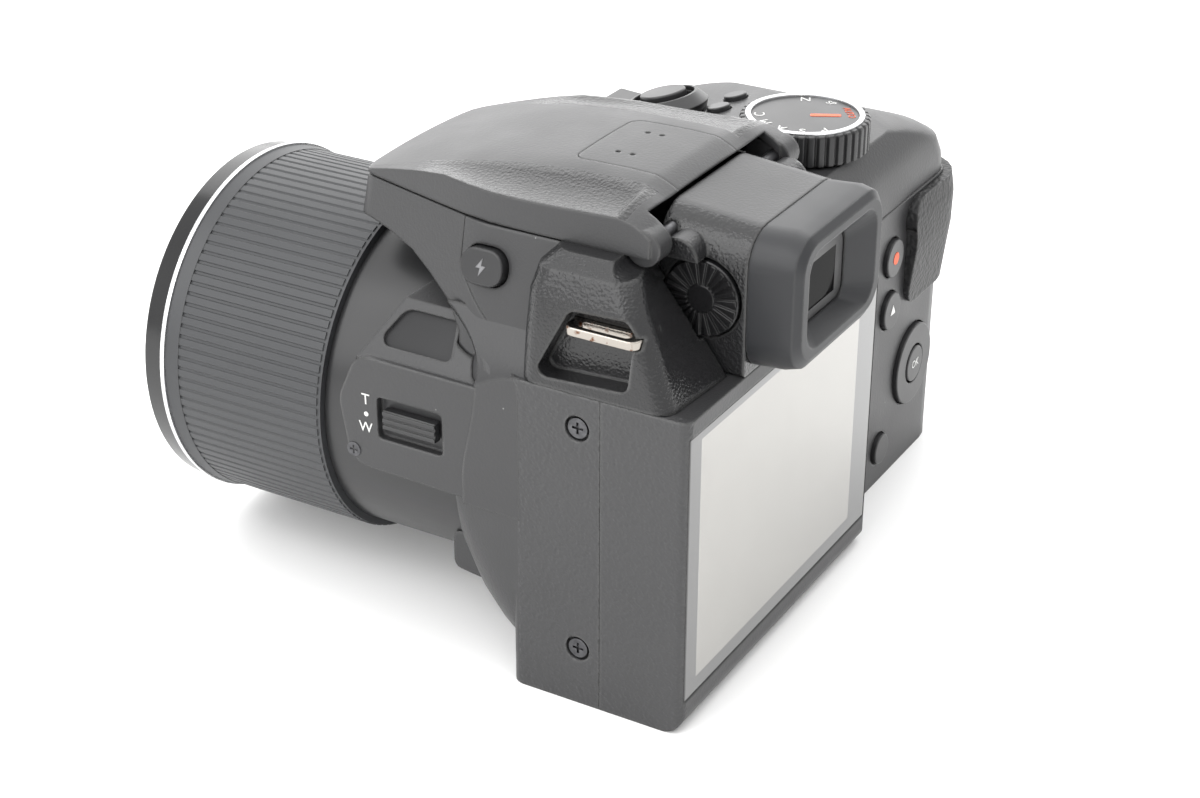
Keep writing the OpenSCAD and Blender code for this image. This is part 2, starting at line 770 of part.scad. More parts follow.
function lid_side(y, g) =
  let (w = lid_half(y) - g, z0 = lid_z - (g > 0 ? 1 : 0), z = max(z0 + 0.8, lid_top(y) - g) - roof_fall,
    lip = min(z - 0.25, lip_z + 0.04 * max(0, y) - 0.3 * max(0, y - 15) - g), foot = w - 0.12 * (lip - z0),
    c = min(roof_w + 0.065 * max(0, 3 - y), foot - 1.3))
  concat([[w, z0]],
    [for (i = [0 : 5]) let (s = i / 6) [foot + (c - foot) * s,
      lip + (z - lip) * s - 4 * s * (1 - s) * dish(y)]],
    [for (i = [0 : 2]) let (u = 1 - i / 3) [c * u, z + roof_fall * (1 - u * u)]]);

function lid_ring(y, g) =
  let (side = lid_side(y, g), n = len(side), top = max(lid_z - (g > 0 ? 1 : 0) + 0.8, lid_top(y) - g))
  at_y(concat(side, [[0, top]], [for (i = [n - 1 : -1 : 0]) [-side[i][0], side[i][1]]]), y);

lid_rear = hinge_y + 1.4;
lid_ys = [24, 19, 17.4, 16, 14.6, 13.4, 9, 3, -3, -8, -13, -18, -22, -26, -30, -33, -35, -36.3];

module lid_form(g) {
  loft(concat(
    [for (y = lid_ys) if (y > lid_front + g + 0.6) lid_ring(y - (g > 0 ? max(0, y - 14.6) / 2 : 0), g)],
    [lid_ring(lid_front + g, g)]));
}

ear_in = finder_w + 3.9;
ear_out = hump_w - 0.7;

// Room for the finder's housing behind the lid, over the lid's whole travel
module lid_room() {
  w = ear_in - gap;
  block([-w, finder_y - gap, 0], [w, far, far]);
  block([-far, lid_rear, 0], [far, far, far]);
  rod_x(-w, w, hinge_y, hinge_z, finder_z - hinge_z + gap + 0.5);
}

module flash_lid() color(black) place() {
  difference() {
    union() {
      difference() {
        lid_form(0);
        lid_form(lid_t);
        lid_room();
      }
      for (s = [-1, 1]) {
        x = s > 0 ? [ear_in, ear_out] : [-ear_out, -ear_in];
        rod_x(x[0], x[1], hinge_y, hinge_z, ear_r);
        block([x[0], hinge_y - 5, lid_z + 0.1], [x[1], hinge_y, hinge_z + ear_r - 0.4]);
      }
    }
    rod_x(-pin_end - 0.2, pin_end + 0.2, hinge_y, hinge_z, pin_r + 0.05);
    plate_recess();
  }
}

pin_r = 1.2;
pin_end = ear_out - 1.2;

module flash_pins() color(steel) place() {
  for (s = [-1, 1]) {
    x = s > 0 ? [finder_w - 1.6, pin_end] : [-pin_end, -finder_w + 1.6];
    rod_x(x[0], x[1], hinge_y, hinge_z, pin_r);
  }
}

module pin_holes() {
  rod_x(-far, far, hinge_y, hinge_z, ear_r + gap);
}

plate_y = [-1.3, hinge_y];
plate_w = 9.7;

module plate_form(g) {
  linear_slab(box_corners(-plate_w - g, plate_y[0] - g, plate_w + g, plate_y[1] + g, 2), crown_z - 4.5, 10);
}

module plate_recess() {
  difference() {
    plate_form(fit);
    lid_form(0.7);
  }
}

// Microphone plate let into the lid, with four sound holes
module microphone_plate() color(black) place() {
  difference() {
    intersection() {
      plate_form(0);
      difference() {
        lid_form(0);
        lid_form(0.7);
      }
    }
    lid_room();
    for (x = [-4.8, 4.8], y = [3.9, 6.5]) translate([x, y, crown_z - 5])
      cylinder(r = 0.45, h = 9, $fn = 24);
  }
}

case_half = 15.5;

// Tray of the flash unit under the lid, open at its front
module flash_case() color(dark) place() {
  difference() {
    block([-case_half, lid_front + 4.5, bay_z + 1.2], [case_half, 8, lid_z - 0.2]);
    block([-case_half + 1.4, lid_front + 4, bay_z + 2.6], [case_half - 1.4, 6.6, lid_z + 1]);
  }
  along_x(concat([[-16, bay_z + 1.5], [8, bay_z + 1.5]],
    [for (y = [8, 0, -6, -11, -16]) [y, lid_top(y) - lid_t - fit / 2]]), -1.5, 1.5);
}

module flash_window() color(glass) place() {
  block([-case_half + 1.5, lid_front + 4.5, bay_z + 2.7], [case_half - 1.5, lid_front + 6, lid_z - 0.3]);
}

module flash_reflector() color(steel) place() {
  y = lid_front + 6.1;
  z = (bay_z + 2.7 + lid_z) / 2;
  difference() {
    along_x([[y, z - 3], [y + 9, z - 1.9], [y + 9, z + 1.9], [y, z + 3]], -case_half + 1.5,
      case_half - 1.5);
    along_x([[y - 1, z - 2.6], [y + 8.4, z - 1.4], [y + 8.4, z + 1.4], [y - 1, z + 2.6]], -case_half + 2.1,
      case_half - 2.1);
    rod_x(-far, far, y + 6.6, z, 1.1);
  }
}

module flash_tube() color(glass) place() {
  rod_x(-case_half + 1.6, case_half - 1.6, lid_front + 12.7, (bay_z + 2.7 + lid_z) / 2, 1);
}

finder_floor = seam_z + fit;

function finder_ring(top, g) =
  rounded(inset([[finder_w, finder_floor, 0.6], [finder_w, top, 6], [-finder_w, top, 6],
    [-finder_w, finder_floor, 0.6]], g));

module viewfinder_housing() color(black) place() {
  difference() {
    union() {
      loft([at_y(finder_ring(finder_z - 1.4, 0), rear_y), at_y(finder_ring(finder_z, 0), finder_y)]);
      along_y(rounded(box_corners(-neck_w, neck_z[0], neck_w, neck_z[1], 3)), rear_y - 1, neck_y);
      hinge_boss();
    }
    loft([at_y(finder_ring(finder_z - 1.4, 1.8), rear_y - 1.8),
      at_y(finder_ring(finder_z, 1.8), finder_y - 1)]);
    along_y(rounded(box_corners(-neck_w + 1.4, neck_z[0] + 1.4, neck_w - 1.4, neck_z[1] - 1.4, 2)),
      rear_y - 5, neck_y + 1);
    rod_x(finder_w - 1.4, far, dioptre_at[0], dioptre_at[1], dioptre_r + gap);
    rod_x(finder_w - 8, far, dioptre_at[0], dioptre_at[1], 1.6);
    rod_x(-far, far, hinge_y, hinge_z, pin_r + 0.05);
  }
}

// Half-round boss on each side of the housing, beside the lid's ear
module hinge_boss() {
  z = dioptre_at[1] + dioptre_r + 0.5;
  intersection() {
    union() {
      for (x = [finder_w - 1, -ear_in + 0.7]) rod_x(x, x + ear_in - finder_w + 0.3, finder_y + 4.7, z, 3.4);
    }
    block([-far, -far, z], [far, far, far]);
  }
}

neck_w = 11.5;
neck_z = [59.5, 76.5];
neck_y = 36.4;
dioptre_at = [25.3, 68.2];

module dioptre_wheel() color(black) place() {
  n = 30;
  translate([finder_w - 1.1, dioptre_at[0], dioptre_at[1]]) rotate([90, 0, 90]) {
    linear_extrude(2.2)
      polygon([for (i = [0 : 2 * n - 1]) let (r = i % 2 == 0 ? dioptre_r : dioptre_r - 0.4)
        r * [cos(180 * i / n), sin(180 * i / n)]]);
    translate([0, 0, -4]) cylinder(r = 1.5, h = 4.5, $fn = 32);
  }
}

function cup_ring(w, z0, z1, r) = rounded(box_corners(-w, z0, w, z1, r));

module eyecup() color(dark) place() {
  difference() {
    loft([
      at_y(cup_ring(14.2, 59.2, 78.2, 4.5), eyecup_y),
      at_y(cup_ring(15.6, 57.6, 79.4, 5.4), eyecup_y - 1),
      at_y(cup_ring(finder_w, finder_floor + 0.8, 80, 6), eyecup_y - 3.2),
      at_y(cup_ring(finder_w, finder_floor + 0.4, finder_z - 1.5, 6), rear_y + 0.1)]);
    along_y(rounded(box_corners(-neck_w - fit, neck_z[0] - fit, neck_w + fit, neck_z[1] + fit, 3)),
      rear_y - 1, window_y + fit);
    loft([at_y(cup_ring(12.6, 60.4, 77, 4), eyecup_y + 0.1),
      at_y(cup_ring(7, 62.6, 73.4, 2), window_y - 0.1)]);
  }
}

window_y = neck_y + 1.3;

module eyepiece_window() color(glass) place() {
  along_y(rounded(box_corners(-neck_w + 0.4, neck_z[0] + 0.4, neck_w - 0.4, neck_z[1] - 0.4, 2.6)), neck_y,
    window_y);
}

module finder_display() color(dark) place() {
  block([-8, finder_y + 1.2, finder_floor + 1.8], [8, finder_y + 3.4, 75]);
}

module lens_base() color(black) place() {
  lathe([[base_bore, base_front], [barrel_r - 0.5, base_front], [barrel_r - 0.5, -sleeve_rear - 0.2],
    [barrel_r, -sleeve_rear - 0.2], [barrel_r, base_rear], [14, base_rear], [14, base_rear - 3],
      [base_bore, base_rear - 3]]);
}

// Ribbed rubber sleeve: ribs along the axis between two plain bands
module lens_sleeve() color(dark) place() {
  rib_form = [0, 0.6, 0.7, 0.9];
  rib_end = -sleeve_rear - 0.9;
  rib_start = sleeve_front + 2.6;
  lathe([[barrel_r - 0.4, sleeve_front], [rib_r + 0.4, sleeve_front], [rib_r + 0.1, rib_start],
    [barrel_r - 0.4, rib_start]]);
  translate([0, rib_end, lens_z]) rotate([90, 0, 0]) linear_extrude(rib_end - rib_start + 0.5)
    difference() {
    polygon([for (i = [0 : 4 * rib_count - 1])
      let (r = i % 4 < 2 ? rib_r : rib_r - rib_depth, a = (floor(i / 4) + rib_form[i % 4]) * 360 / rib_count)
        r * [cos(a), sin(a)]]);
    circle(r = barrel_r - 0.4, $fn = 120);
  }
  lathe([[barrel_r - 0.4, rib_end - 0.5], [rib_r - rib_depth - 0.1, rib_end - 0.5],
    [rib_r - rib_depth - 0.1, -sleeve_rear - 0.3],
    [barrel_r - 0.4, -sleeve_rear - 0.3]]);
}

module bright_ring() color(steel) place() {
  lathe([[barrel_r - 0.4, bright_y], [bright_r, bright_y], [bright_r, sleeve_front],
    [barrel_r - 0.4, sleeve_front]]);
}

module front_ring() color(black) place() {
  y = -lens_front;
  lathe([[base_bore, y], [bright_r - 0.9, y], [bright_r - 0.5, y + 0.4], [bright_r - 0.1, bright_y],
    [barrel_r - 0.4, bright_y], [barrel_r - 0.4, base_front - fit], [base_bore, base_front - fit]]);
}

module lens_tube_outer() color(black) place() {
  lathe([[tube1_r - tube_t, tube_front], [tube1_r, tube_front], [tube1_r, tube_front + tube_len],
    [tube1_r - tube_t, tube_front + tube_len]]);
}

module lens_tube_inner() color(black) place() {
  r = tube2_r - tube_t;
  lathe([[r, tube_front + 0.4], [tube2_r, tube_front + 0.4], [tube2_r, tube_front + tube_len],
    [r, tube_front + tube_len],
    [r, cell_seat + 2], [front_lens_r - 2.5, cell_seat + 2], [front_lens_r - 2.5, cell_seat],
      [r, cell_seat]]);
}

module lens_trim() color(dark) place() {
  r = tube2_r - tube_t - fit;
  bore = front_lens_r + 0.3;
  lathe([[bore, cell_seat - 2.4], [r, tube_front + 1.2], [r, cell_seat], [bore, cell_seat]]);
}

module front_lens() color(glass) place() {
  r = front_lens_r;
  lathe(concat([[0, cell_seat]], [[r, cell_seat], [r, cell_seat - 1]],
    [for (i = [1 : 6]) [r * cos(15 * i), cell_seat - 1 - 2.2 * sin(15 * i)]]));
}

module rear_lens_cell() color(dark) place() {
  lathe([[10, base_rear - 17], [17, base_rear - 17], [17, base_rear - 6], [20, base_rear - 6],
    [20, base_rear - 3],
    [12, base_rear - 3], [12, base_rear - 10], [10, base_rear - 10]]);
}

module rear_lens() color(glass) place() {
  lathe(concat([[0, base_rear - 7.4], [12 - fit, base_rear - 7.4], [12 - fit, base_rear - 10]],
    [for (i = [0 : 5]) [9.8 * cos(18 * i), base_rear - 10 - 1.4 * sin(18 * i)]]));
}

module image_sensor() color(grey) place() {
  difference() {
    block([-17, base_rear, lens_z - 15], [17, base_rear + 2, lens_z + 15]);
    block([-3.6, base_rear - 1, lens_z - 2.8], [3.6, base_rear + 0.5, lens_z + 2.8]);
  }
}

// Outline of the moulding on the barrel's side, in y and z, and of the badge's seat above it
side_outline = [[-31.8, 44, 6], [-29.8, 32.4, 4], [-2, 31.6, 2], [-2, 52.2, 1], [-28, 52.4, 4]];
seat_outline = [[-30.4, 48, 1], [-2, 48, 1], [-2, 62, 1], [-22.4, 62, 4]];
badge_lean = 39;
badge_z = 53.4;
badge_foot = side_x - 2.3;

module zoom_switch_cover() color(black) place() {
  top = [badge_foot - 9 * sin(badge_lean), badge_z + 9 * cos(badge_lean)];
  difference() {
    union() {
      along_x(rounded(side_outline), 22, side_x);
      intersection() {
        along_x(rounded(seat_outline), 14, side_x);
        along_y([[14, 48], [badge_foot, 48], [side_x - 0.6, badge_z - 1.6], [badge_foot, badge_z], top,
          [14, top[1]]], -far, far);
      }
    }
    lathe([[0, -far], [barrel_r + fit, -far], [barrel_r + fit, far], [0, far]]);
    collar(fit);
    difference() {
      hump(-gap, lid_z);
      translate([0, -gap, -gap]) under_hump();
    }
    slider_slot();
    badge_form(fit);
  }
}

slot_size = [12.6, 7.6];
thumb_size = [10, 3.4];
slider_travel = 1.6;

module slider_slot() {
  block([side_x - 1.6, slider_at[0] - slot_size[0] / 2, slider_at[1] - slot_size[1] / 2],
    [far, slider_at[0] + slot_size[0] / 2, slider_at[1] + slot_size[1] / 2]);
}

module zoom_slider() color(dark) place() {
  x = side_x - 1.6;
  block([x + gap, slider_at[0] - thumb_size[0] / 2, slider_at[1] - thumb_size[1] / 2],
    [side_x + 0.1, slider_at[0] + thumb_size[0] / 2, slider_at[1] + thumb_size[1] / 2]);
  for (i = [-1 : 1])
    block([x + gap, slider_at[0] - thumb_size[0] / 2, slider_at[1] + i * 1.2 - 0.35],
      [side_x + 0.4, slider_at[0] + thumb_size[0] / 2, slider_at[1] + i * 1.2 + 0.35]);
}

module badge_form(g) {
  C = [[-25.7, 0.7, 1.5], [-11.7, 0.7, 0.8], [-12.9, 7.3, 0.8], [-22.4, 7.3, 2.5]];
  translate([badge_foot, 0, badge_z]) rotate([0, -badge_lean, 0])
    along_x(rounded(inset(C, -g)), -0.8 - g, g);
}

module badge_plate() color(dark) place() badge_form(0);

module grip_rubber() color(dark) place() {
  z = [3, 52];
  intersection() {
    difference() {
      translate([0, 0, z[0]]) linear_extrude(z[1] - z[0]) polygon(rounded(inset(plan, -rubber_t)));
      linear_extrude(far) polygon(rounded(inset(plan, -0.02)));
    }
    block([-far, -far, 0], [-grip_in - 3, terminal_y[0] - 1.5, far]);
  }
}

// Ring of the thumb rest: it swells to the rear and wraps round the case's corner
function thumb_ring(swell) =
  let (x = -case_right - rubber_t, y = side_rear_y + swell)
  rounded([[-58, split_y + 1, 0.5], [-58, y, 0.5], [x, y, thumb_r + 1], [x, split_y + 1, 0.5]]);

thumb_z = [34, 55.5];

module thumb_rest() color(dark) place() {
  difference() {
    intersection() {
      loft([for (s = [[-2, 0.6], [6, rubber_t], [12, 2.2], [18, 2.3], [24, 1.2]])
        at_z(thumb_ring(s[1]), thumb_z[0] + s[0])]);
      along_y(rounded([[-far, thumb_z[0], 1], [-64.5, thumb_z[0], 4], [-64.5, 49, 4],
        [-59.5, thumb_z[1], 4],
        [-far, thumb_z[1], 1]]), split_y + 1.5, far);
    }
    linear_extrude(far) polygon(rounded(inset(plan, -0.02)));
  }
}

module base_plate() color(black) place() {
  difference() {
    linear_extrude(base_t) polygon(rounded(inset(plan, wall + fit)));
    translate([0, tripod_y, -1]) cylinder(r = tripod_r + fit, h = base_t + 2, $fn = 64);
    linear_slab(inset(door_corners, -gap), -1, base_t + 2);
    foot_edge();
  }
}

module tripod_bush() color(steel) place() {
  translate([0, tripod_y, 0]) difference() {
    union() {
      cylinder(r = tripod_r, h = 8, $fn = 64);
      translate([0, 0, base_t]) cylinder(r = tripod_r + 2.5, h = 1.4, $fn = 64);
    }
    translate([0, 0, -1]) cylinder(r = tripod_bore, h = 7.5, $fn = 64);
  }
}

door_edge = [-83, -25.3, -53.6, 4.6];
door_corners = [[door_edge[0], door_edge[1], 6], [door_edge[2], door_edge[1], 6],
  [door_edge[2], door_edge[3], 0.6], [door_edge[0], door_edge[3], 0.6]];
door_hinge = [door_edge[3] - 0.5, 0.5];

module battery_box() color(dark) place() {
  x = [cell_x[0] - cell_r - gap - box_t, cell_x[1] + cell_r + gap + box_t];
  y = [cell_y[0] - cell_r - gap - box_t, cell_y[1] + cell_r + gap + box_t];
  difference() {
    linear_slab(box_corners(x[0], y[0], x[1], y[1], cell_r), base_t + fit, box_top - base_t);
    for (cx = cell_x, cy = cell_y)
      translate([cx, cy, 0]) cylinder(r = cell_r + gap - 0.05, h = cell_z + cell_len + 1.2, $fn = 64);
  }
}

module battery_cells() color(grey) place() {
  for (cx = cell_x, cy = cell_y) translate([cx, cy, cell_z]) {
    cylinder(r = cell_r, h = cell_len - 1.2, $fn = 64);
    cylinder(r = 2.7, h = cell_len, $fn = 48);
  }
}

module battery_door() color(black) place() {
  difference() {
    linear_slab(door_corners, 0, door_t);
    latch_slot(gap);
  }
}

latch_at = [-68.3, -19.5];

module latch_slot(g) {
  linear_slab(box_corners(latch_at[0] - 5 - g, latch_at[1] - 2.5 - g, latch_at[0] + 5 + g,
    latch_at[1] + 4.5 + g, 1), -1, 2);
}

module door_latch() color(dark) place() {
  for (i = [-2 : 2])
    block([latch_at[0] - 4.4, latch_at[1] + i * 0.9 - 0.25, 0.05],
      [latch_at[0] + 4.4, latch_at[1] + i * 0.9 + 0.25, 0.5]);
  linear_slab(box_corners(latch_at[0] - 5, latch_at[1] - 2.5, latch_at[0] + 5, latch_at[1] + 2.5, 1), 0.3,
    0.65);
}

module chassis() color(steel) place() {
  y = base_rear + 6;
  difference() {
    union() {
      block([-33, y, base_t], [case_left - wall - 0.4, y + 1.2, seam_z - 4]);
      block([case_left - wall - 2.4, y, base_t], [case_left - wall - 0.4, screw_y + 3, seam_z - 4]);
      block([-14, base_rear + 2, lens_z - 12], [-10, y, lens_z + 12]);
      block([10, base_rear + 2, lens_z - 12], [14, y, lens_z + 12]);
      for (x = [-24, 22], z = [14, 47]) rod_y(x, y, main_y, z, 2.2);
    }
    for (z = screw_zs) rod_x(case_left - 9, case_left, screw_y, z, screw_shank_r + fit);
    translate([0, tripod_y, 0]) cylinder(r = tripod_r + 3, h = 12, $fn = 64);
  }
}

main_y = base_rear + 10;

module main_board() color(green) place() {
  difference() {
    block([-32, main_y, base_t + 8.4], [case_left - wall - 3, main_y + 1.4, seam_z - 5]);
    for (z = screw_zs) rod_x(case_left - 9, case_left, screw_y, z, screw_shank_r + 1);
  }
  block([-14, main_y + 1.4, 20], [6, main_y + 3, 40]);
}

module flash_capacitor() color(dark) place() {
  rod_y(-43, base_rear + 2, side_rear_y - wall - 7, base_t + 5.5, 5.5);
}

front_cover();
rear_cover();
top_cover();
base_plate();
tripod_bush();
grip_rubber();
thumb_rest();
lens_base();
lens_sleeve();
bright_ring();
front_ring();
lens_tube_outer();
lens_tube_inner();
lens_trim();
front_lens();
rear_lens_cell();
rear_lens();
image_sensor();
zoom_switch_cover();
zoom_slider();
badge_plate();
flash_lid();
flash_case();
flash_window();
flash_reflector();
flash_tube();
microphone_plate();
flash_pins();
flash_button();
viewfinder_housing();
eyecup();
eyepiece_window();
finder_display();
dioptre_wheel();
strap_lugs();
case_screws();
screen_glass();
screen_panel();
chassis();
main_board();
key_board();
flash_capacitor();
mode_dial();
dial_ring();
shutter_button();
zoom_ring();
power_button();
exposure_button();
movie_button();
play_button();
back_button();
finder_button();
selector_pad();
ok_button();
battery_box();
battery_cells();
battery_door();
door_latch();
terminal_cover();
terminal_sockets();
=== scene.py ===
import json
import math

import bmesh
import bpy
from mathutils import Matrix, Vector


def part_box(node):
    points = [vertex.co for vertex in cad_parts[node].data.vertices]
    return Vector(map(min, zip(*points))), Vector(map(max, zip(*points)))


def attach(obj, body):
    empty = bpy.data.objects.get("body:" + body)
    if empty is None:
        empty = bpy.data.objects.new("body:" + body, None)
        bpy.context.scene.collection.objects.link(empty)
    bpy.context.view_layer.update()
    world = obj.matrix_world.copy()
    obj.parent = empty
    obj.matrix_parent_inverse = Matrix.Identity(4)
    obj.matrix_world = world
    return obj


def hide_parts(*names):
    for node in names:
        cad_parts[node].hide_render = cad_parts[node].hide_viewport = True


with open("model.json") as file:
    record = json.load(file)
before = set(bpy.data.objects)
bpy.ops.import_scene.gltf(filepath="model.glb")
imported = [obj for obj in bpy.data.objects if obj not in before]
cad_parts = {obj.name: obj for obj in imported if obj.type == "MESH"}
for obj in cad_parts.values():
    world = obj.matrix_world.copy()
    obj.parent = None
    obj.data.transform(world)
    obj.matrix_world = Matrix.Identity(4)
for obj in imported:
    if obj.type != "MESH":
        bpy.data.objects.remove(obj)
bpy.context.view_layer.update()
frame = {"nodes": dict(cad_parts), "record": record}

MM = 0.001
NODES = frame["nodes"]
BODY_OF = {n: b for b, names in frame["record"]["behaviour"]["bodies"].items() for n in names}


# Colours and materials

def linear(hexa):
    """sRGB hex to linear RGBA."""
    parts = [int(hexa[i:i + 2], 16) / 255 for i in (1, 3, 5)]
    return [p / 12.92 if p <= 0.04045 else ((p + 0.055) / 1.055) ** 2.4 for p in parts] + [1.0]


def add(tree, kind, inputs=None, **settings):
    """Adds one node with its settings; inputs maps a socket to a value or to another node's output."""
    node = tree.nodes.new(kind)
    for key, value in settings.items():
        setattr(node, key, value)
    for key, value in (inputs or {}).items():
        if isinstance(value, bpy.types.NodeSocket):
            tree.links.new(value, node.inputs[key])
        else:
            node.inputs[key].default_value = value
    return node


def finish(name, **values):
    """A new material with one Principled shader, and its tree."""
    made = bpy.data.materials.new(name)
    made.use_nodes = True
    tree = made.node_tree
    shader = tree.nodes["Principled BSDF"]
    for key, value in values.items():
        shader.inputs[key.replace("_", " ")].default_value = value
    return made, tree, shader


def per_mm(size):
    """Noise scale for features of that size in millimetres, on coordinates in metres."""
    return 1.0 / (size * MM)


# What all mouldings share. Patch of even tone and cell that may hold a speck of dust, in millimetres
TONE_PATCH = 14
DUST_CELL = 4.2
# Cosines of the turn at an edge where polish by use and the edge grey, partly wear and partly a painted
# highlight, start and where they are full
EDGE_WEAR_AND_HIGHLIGHT_FROM = 0.97
EDGE_WEAR_AND_HIGHLIGHT_FULL = 0.8
# Rim and core of a speck as shares of its cell, and the share of cells that stay clean
SPECK_RIM = 0.035
SPECK_CORE = 0.02
CLEAN_CELLS = 0.82
# Swing of the roughness between patches
SHEEN_SWING = 0.04
# Grey laid on the edges: partly wear, partly a painted highlight
EDGE_WEAR_AND_HIGHLIGHT_GREY = "#8a8a88"
DUST_GREY = "#8e8e8c"


def moulded(name, dark, light, rough, grain, depth, edge_wear_and_highlight=0.2, edge=0.3, leather=False, dusty=True):
    """Moulded plastic or rubber: spark-eroded or leather grain, edges polished by use and greyed, partly as
    wear and partly as a painted highlight, a little dust.
    """
    made, tree, shader = finish(name)
    place = add(tree, "ShaderNodeTexCoord").outputs["Object"]
    blotch = add(tree, "ShaderNodeTexNoise", {"Vector": place, "Scale": per_mm(TONE_PATCH), "Detail": 3.0})
    fine = add(tree, "ShaderNodeTexNoise",
               {"Vector": place, "Scale": per_mm(grain), "Detail": 2.0, "Roughness": 0.6})
    height = fine.outputs["Fac"]
    if leather:
        cell = add(tree, "ShaderNodeTexVoronoi",
                   {"Vector": place, "Scale": per_mm(grain), "Smoothness": 0.6}, feature="SMOOTH_F1")
        height = add(tree, "ShaderNodeMath", {0: cell.outputs["Distance"], 1: fine.outputs["Fac"]},
                     operation="ADD").outputs[0]
    soft = add(tree, "ShaderNodeBevel", {"Radius": edge * MM}, samples=4)
    hard = add(tree, "ShaderNodeNewGeometry")
    turn = add(tree, "ShaderNodeVectorMath", {0: soft.outputs[0], 1: hard.outputs["Normal"]},
               operation="DOT_PRODUCT")
    edge_wear_and_highlight_mask = add(tree, "ShaderNodeMapRange",
               {"Value": turn.outputs["Value"], "From Min": EDGE_WEAR_AND_HIGHLIGHT_FROM, "From Max": EDGE_WEAR_AND_HIGHLIGHT_FULL})
    bump = add(tree, "ShaderNodeBump", {"Strength": 1.0, "Distance": depth * MM, "Height": height,
                                        "Normal": soft.outputs[0]})
    tint = add(tree, "ShaderNodeMix", {"Factor": blotch.outputs["Fac"], 6: linear(dark), 7: linear(light)},
               data_type="RGBA")
    # Edges lightened towards grey: partly wear, partly a painted highlight
    edge_wear_and_highlight_share = add(tree, "ShaderNodeMath", {0: edge_wear_and_highlight_mask.outputs[0], 1: edge_wear_and_highlight}, operation="MULTIPLY")
    colour = add(tree, "ShaderNodeMix",
                 {"Factor": edge_wear_and_highlight_share.outputs[0], 6: tint.outputs[2], 7: linear(EDGE_WEAR_AND_HIGHLIGHT_GREY)},
                 data_type="RGBA").outputs[2]
    if dusty:
        dust = add(tree, "ShaderNodeTexVoronoi", {"Vector": place, "Scale": per_mm(DUST_CELL)})
        speck = add(tree, "ShaderNodeMapRange",
                    {"Value": dust.outputs["Distance"], "From Min": SPECK_RIM, "From Max": SPECK_CORE})
        lot = add(tree, "ShaderNodeSeparateColor", {0: dust.outputs["Color"]})
        rare = add(tree, "ShaderNodeMath", {0: lot.outputs[0], 1: CLEAN_CELLS}, operation="GREATER_THAN")
        grey = add(tree, "ShaderNodeMath", {0: speck.outputs[0], 1: rare.outputs[0]}, operation="MULTIPLY")
        colour = add(tree, "ShaderNodeMix", {"Factor": grey.outputs[0], 6: colour, 7: linear(DUST_GREY)},
                     data_type="RGBA").outputs[2]
    even = add(tree, "ShaderNodeMapRange",
               {"Value": blotch.outputs["Fac"], "From Min": 0.3, "From Max": 0.7,
                "To Min": rough - SHEEN_SWING, "To Max": rough + SHEEN_SWING})
    shine = add(tree, "ShaderNodeMath", {0: edge_wear_and_highlight_mask.outputs[0], 1: -edge_wear_and_highlight, 2: even.outputs[0]},
                operation="MULTIPLY_ADD")
    tree.links.new(colour, shader.inputs["Base Color"])
    tree.links.new(shine.outputs[0], shader.inputs["Roughness"])
    tree.links.new(bump.outputs[0], shader.inputs["Normal"])
    return made


# Radius of the broken edges of metal pieces, and how much rougher a stain is
METAL_EDGE = 0.15
STAIN_ROUGHER = 0.2


def turned(name, colour, other, rough, line=0.25, depth=0.01, stain=4.0, low=0.3, high=0.7):
    """Turned, rolled or plated metal: fine lines, and a second colour where it is stained."""
    made, tree, shader = finish(name, Metallic=1.0)
    place = add(tree, "ShaderNodeTexCoord").outputs["Object"]
    patch = add(tree, "ShaderNodeTexNoise", {"Vector": place, "Scale": per_mm(stain), "Detail": 4.0})
    fine = add(tree, "ShaderNodeTexNoise", {"Vector": place, "Scale": per_mm(line), "Detail": 2.0})
    much = add(tree, "ShaderNodeMapRange",
               {"Value": patch.outputs["Fac"], "From Min": low, "From Max": high})
    tint = add(tree, "ShaderNodeMix", {"Factor": much.outputs[0], 6: linear(colour), 7: linear(other)},
               data_type="RGBA")
    soft = add(tree, "ShaderNodeBevel", {"Radius": METAL_EDGE * MM}, samples=4)
    bump = add(tree, "ShaderNodeBump", {"Strength": 1.0, "Distance": depth * MM,
                                        "Height": fine.outputs["Fac"], "Normal": soft.outputs[0]})
    even = add(tree, "ShaderNodeMapRange",
               {"Value": much.outputs[0], "To Min": rough, "To Max": rough + STAIN_ROUGHER})
    tree.links.new(tint.outputs[2], shader.inputs["Base Color"])
    tree.links.new(even.outputs[0], shader.inputs["Roughness"])
    tree.links.new(bump.outputs[0], shader.inputs["Normal"])
    return made


# Size of the smears that fingers leave on glass, and how much rougher they are
SMEAR = 9
SMEAR_ROUGHER = 0.08


def clear(name, colour, other, rough, **values):
    """Cover glass, optical glass or clear plastic with faint smears."""
    made, tree, shader = finish(name, **values)
    place = add(tree, "ShaderNodeTexCoord").outputs["Object"]
    smear = add(tree, "ShaderNodeTexNoise",
                {"Vector": place, "Scale": per_mm(SMEAR), "Detail": 5.0, "Distortion": 1.0})
    film = add(tree, "ShaderNodeMapRange",
               {"Value": smear.outputs["Fac"], "From Min": 0.4, "From Max": 0.75,
                "To Min": rough, "To Max": rough + SMEAR_ROUGHER})
    tone = add(tree, "ShaderNodeMix", {"Factor": smear.outputs["Fac"], 6: linear(colour), 7: linear(other)},
               data_type="RGBA")
    tree.links.new(film.outputs[0], shader.inputs["Roughness"])
    tree.links.new(tone.outputs[2], shader.inputs["Base Color"])
    return made


# ABS moulded in a spark-eroded tool: a matt black that greys softly under broad light. Its grain, and that
# of the other smooth mouldings, is drawn coarser than the real tenth of a millimetre, too fine to show
abs_fine = moulded("abs_fine_spark_grain", "#2c2c2d", "#333334", 0.4, 0.5, 0.05, edge=0.7)
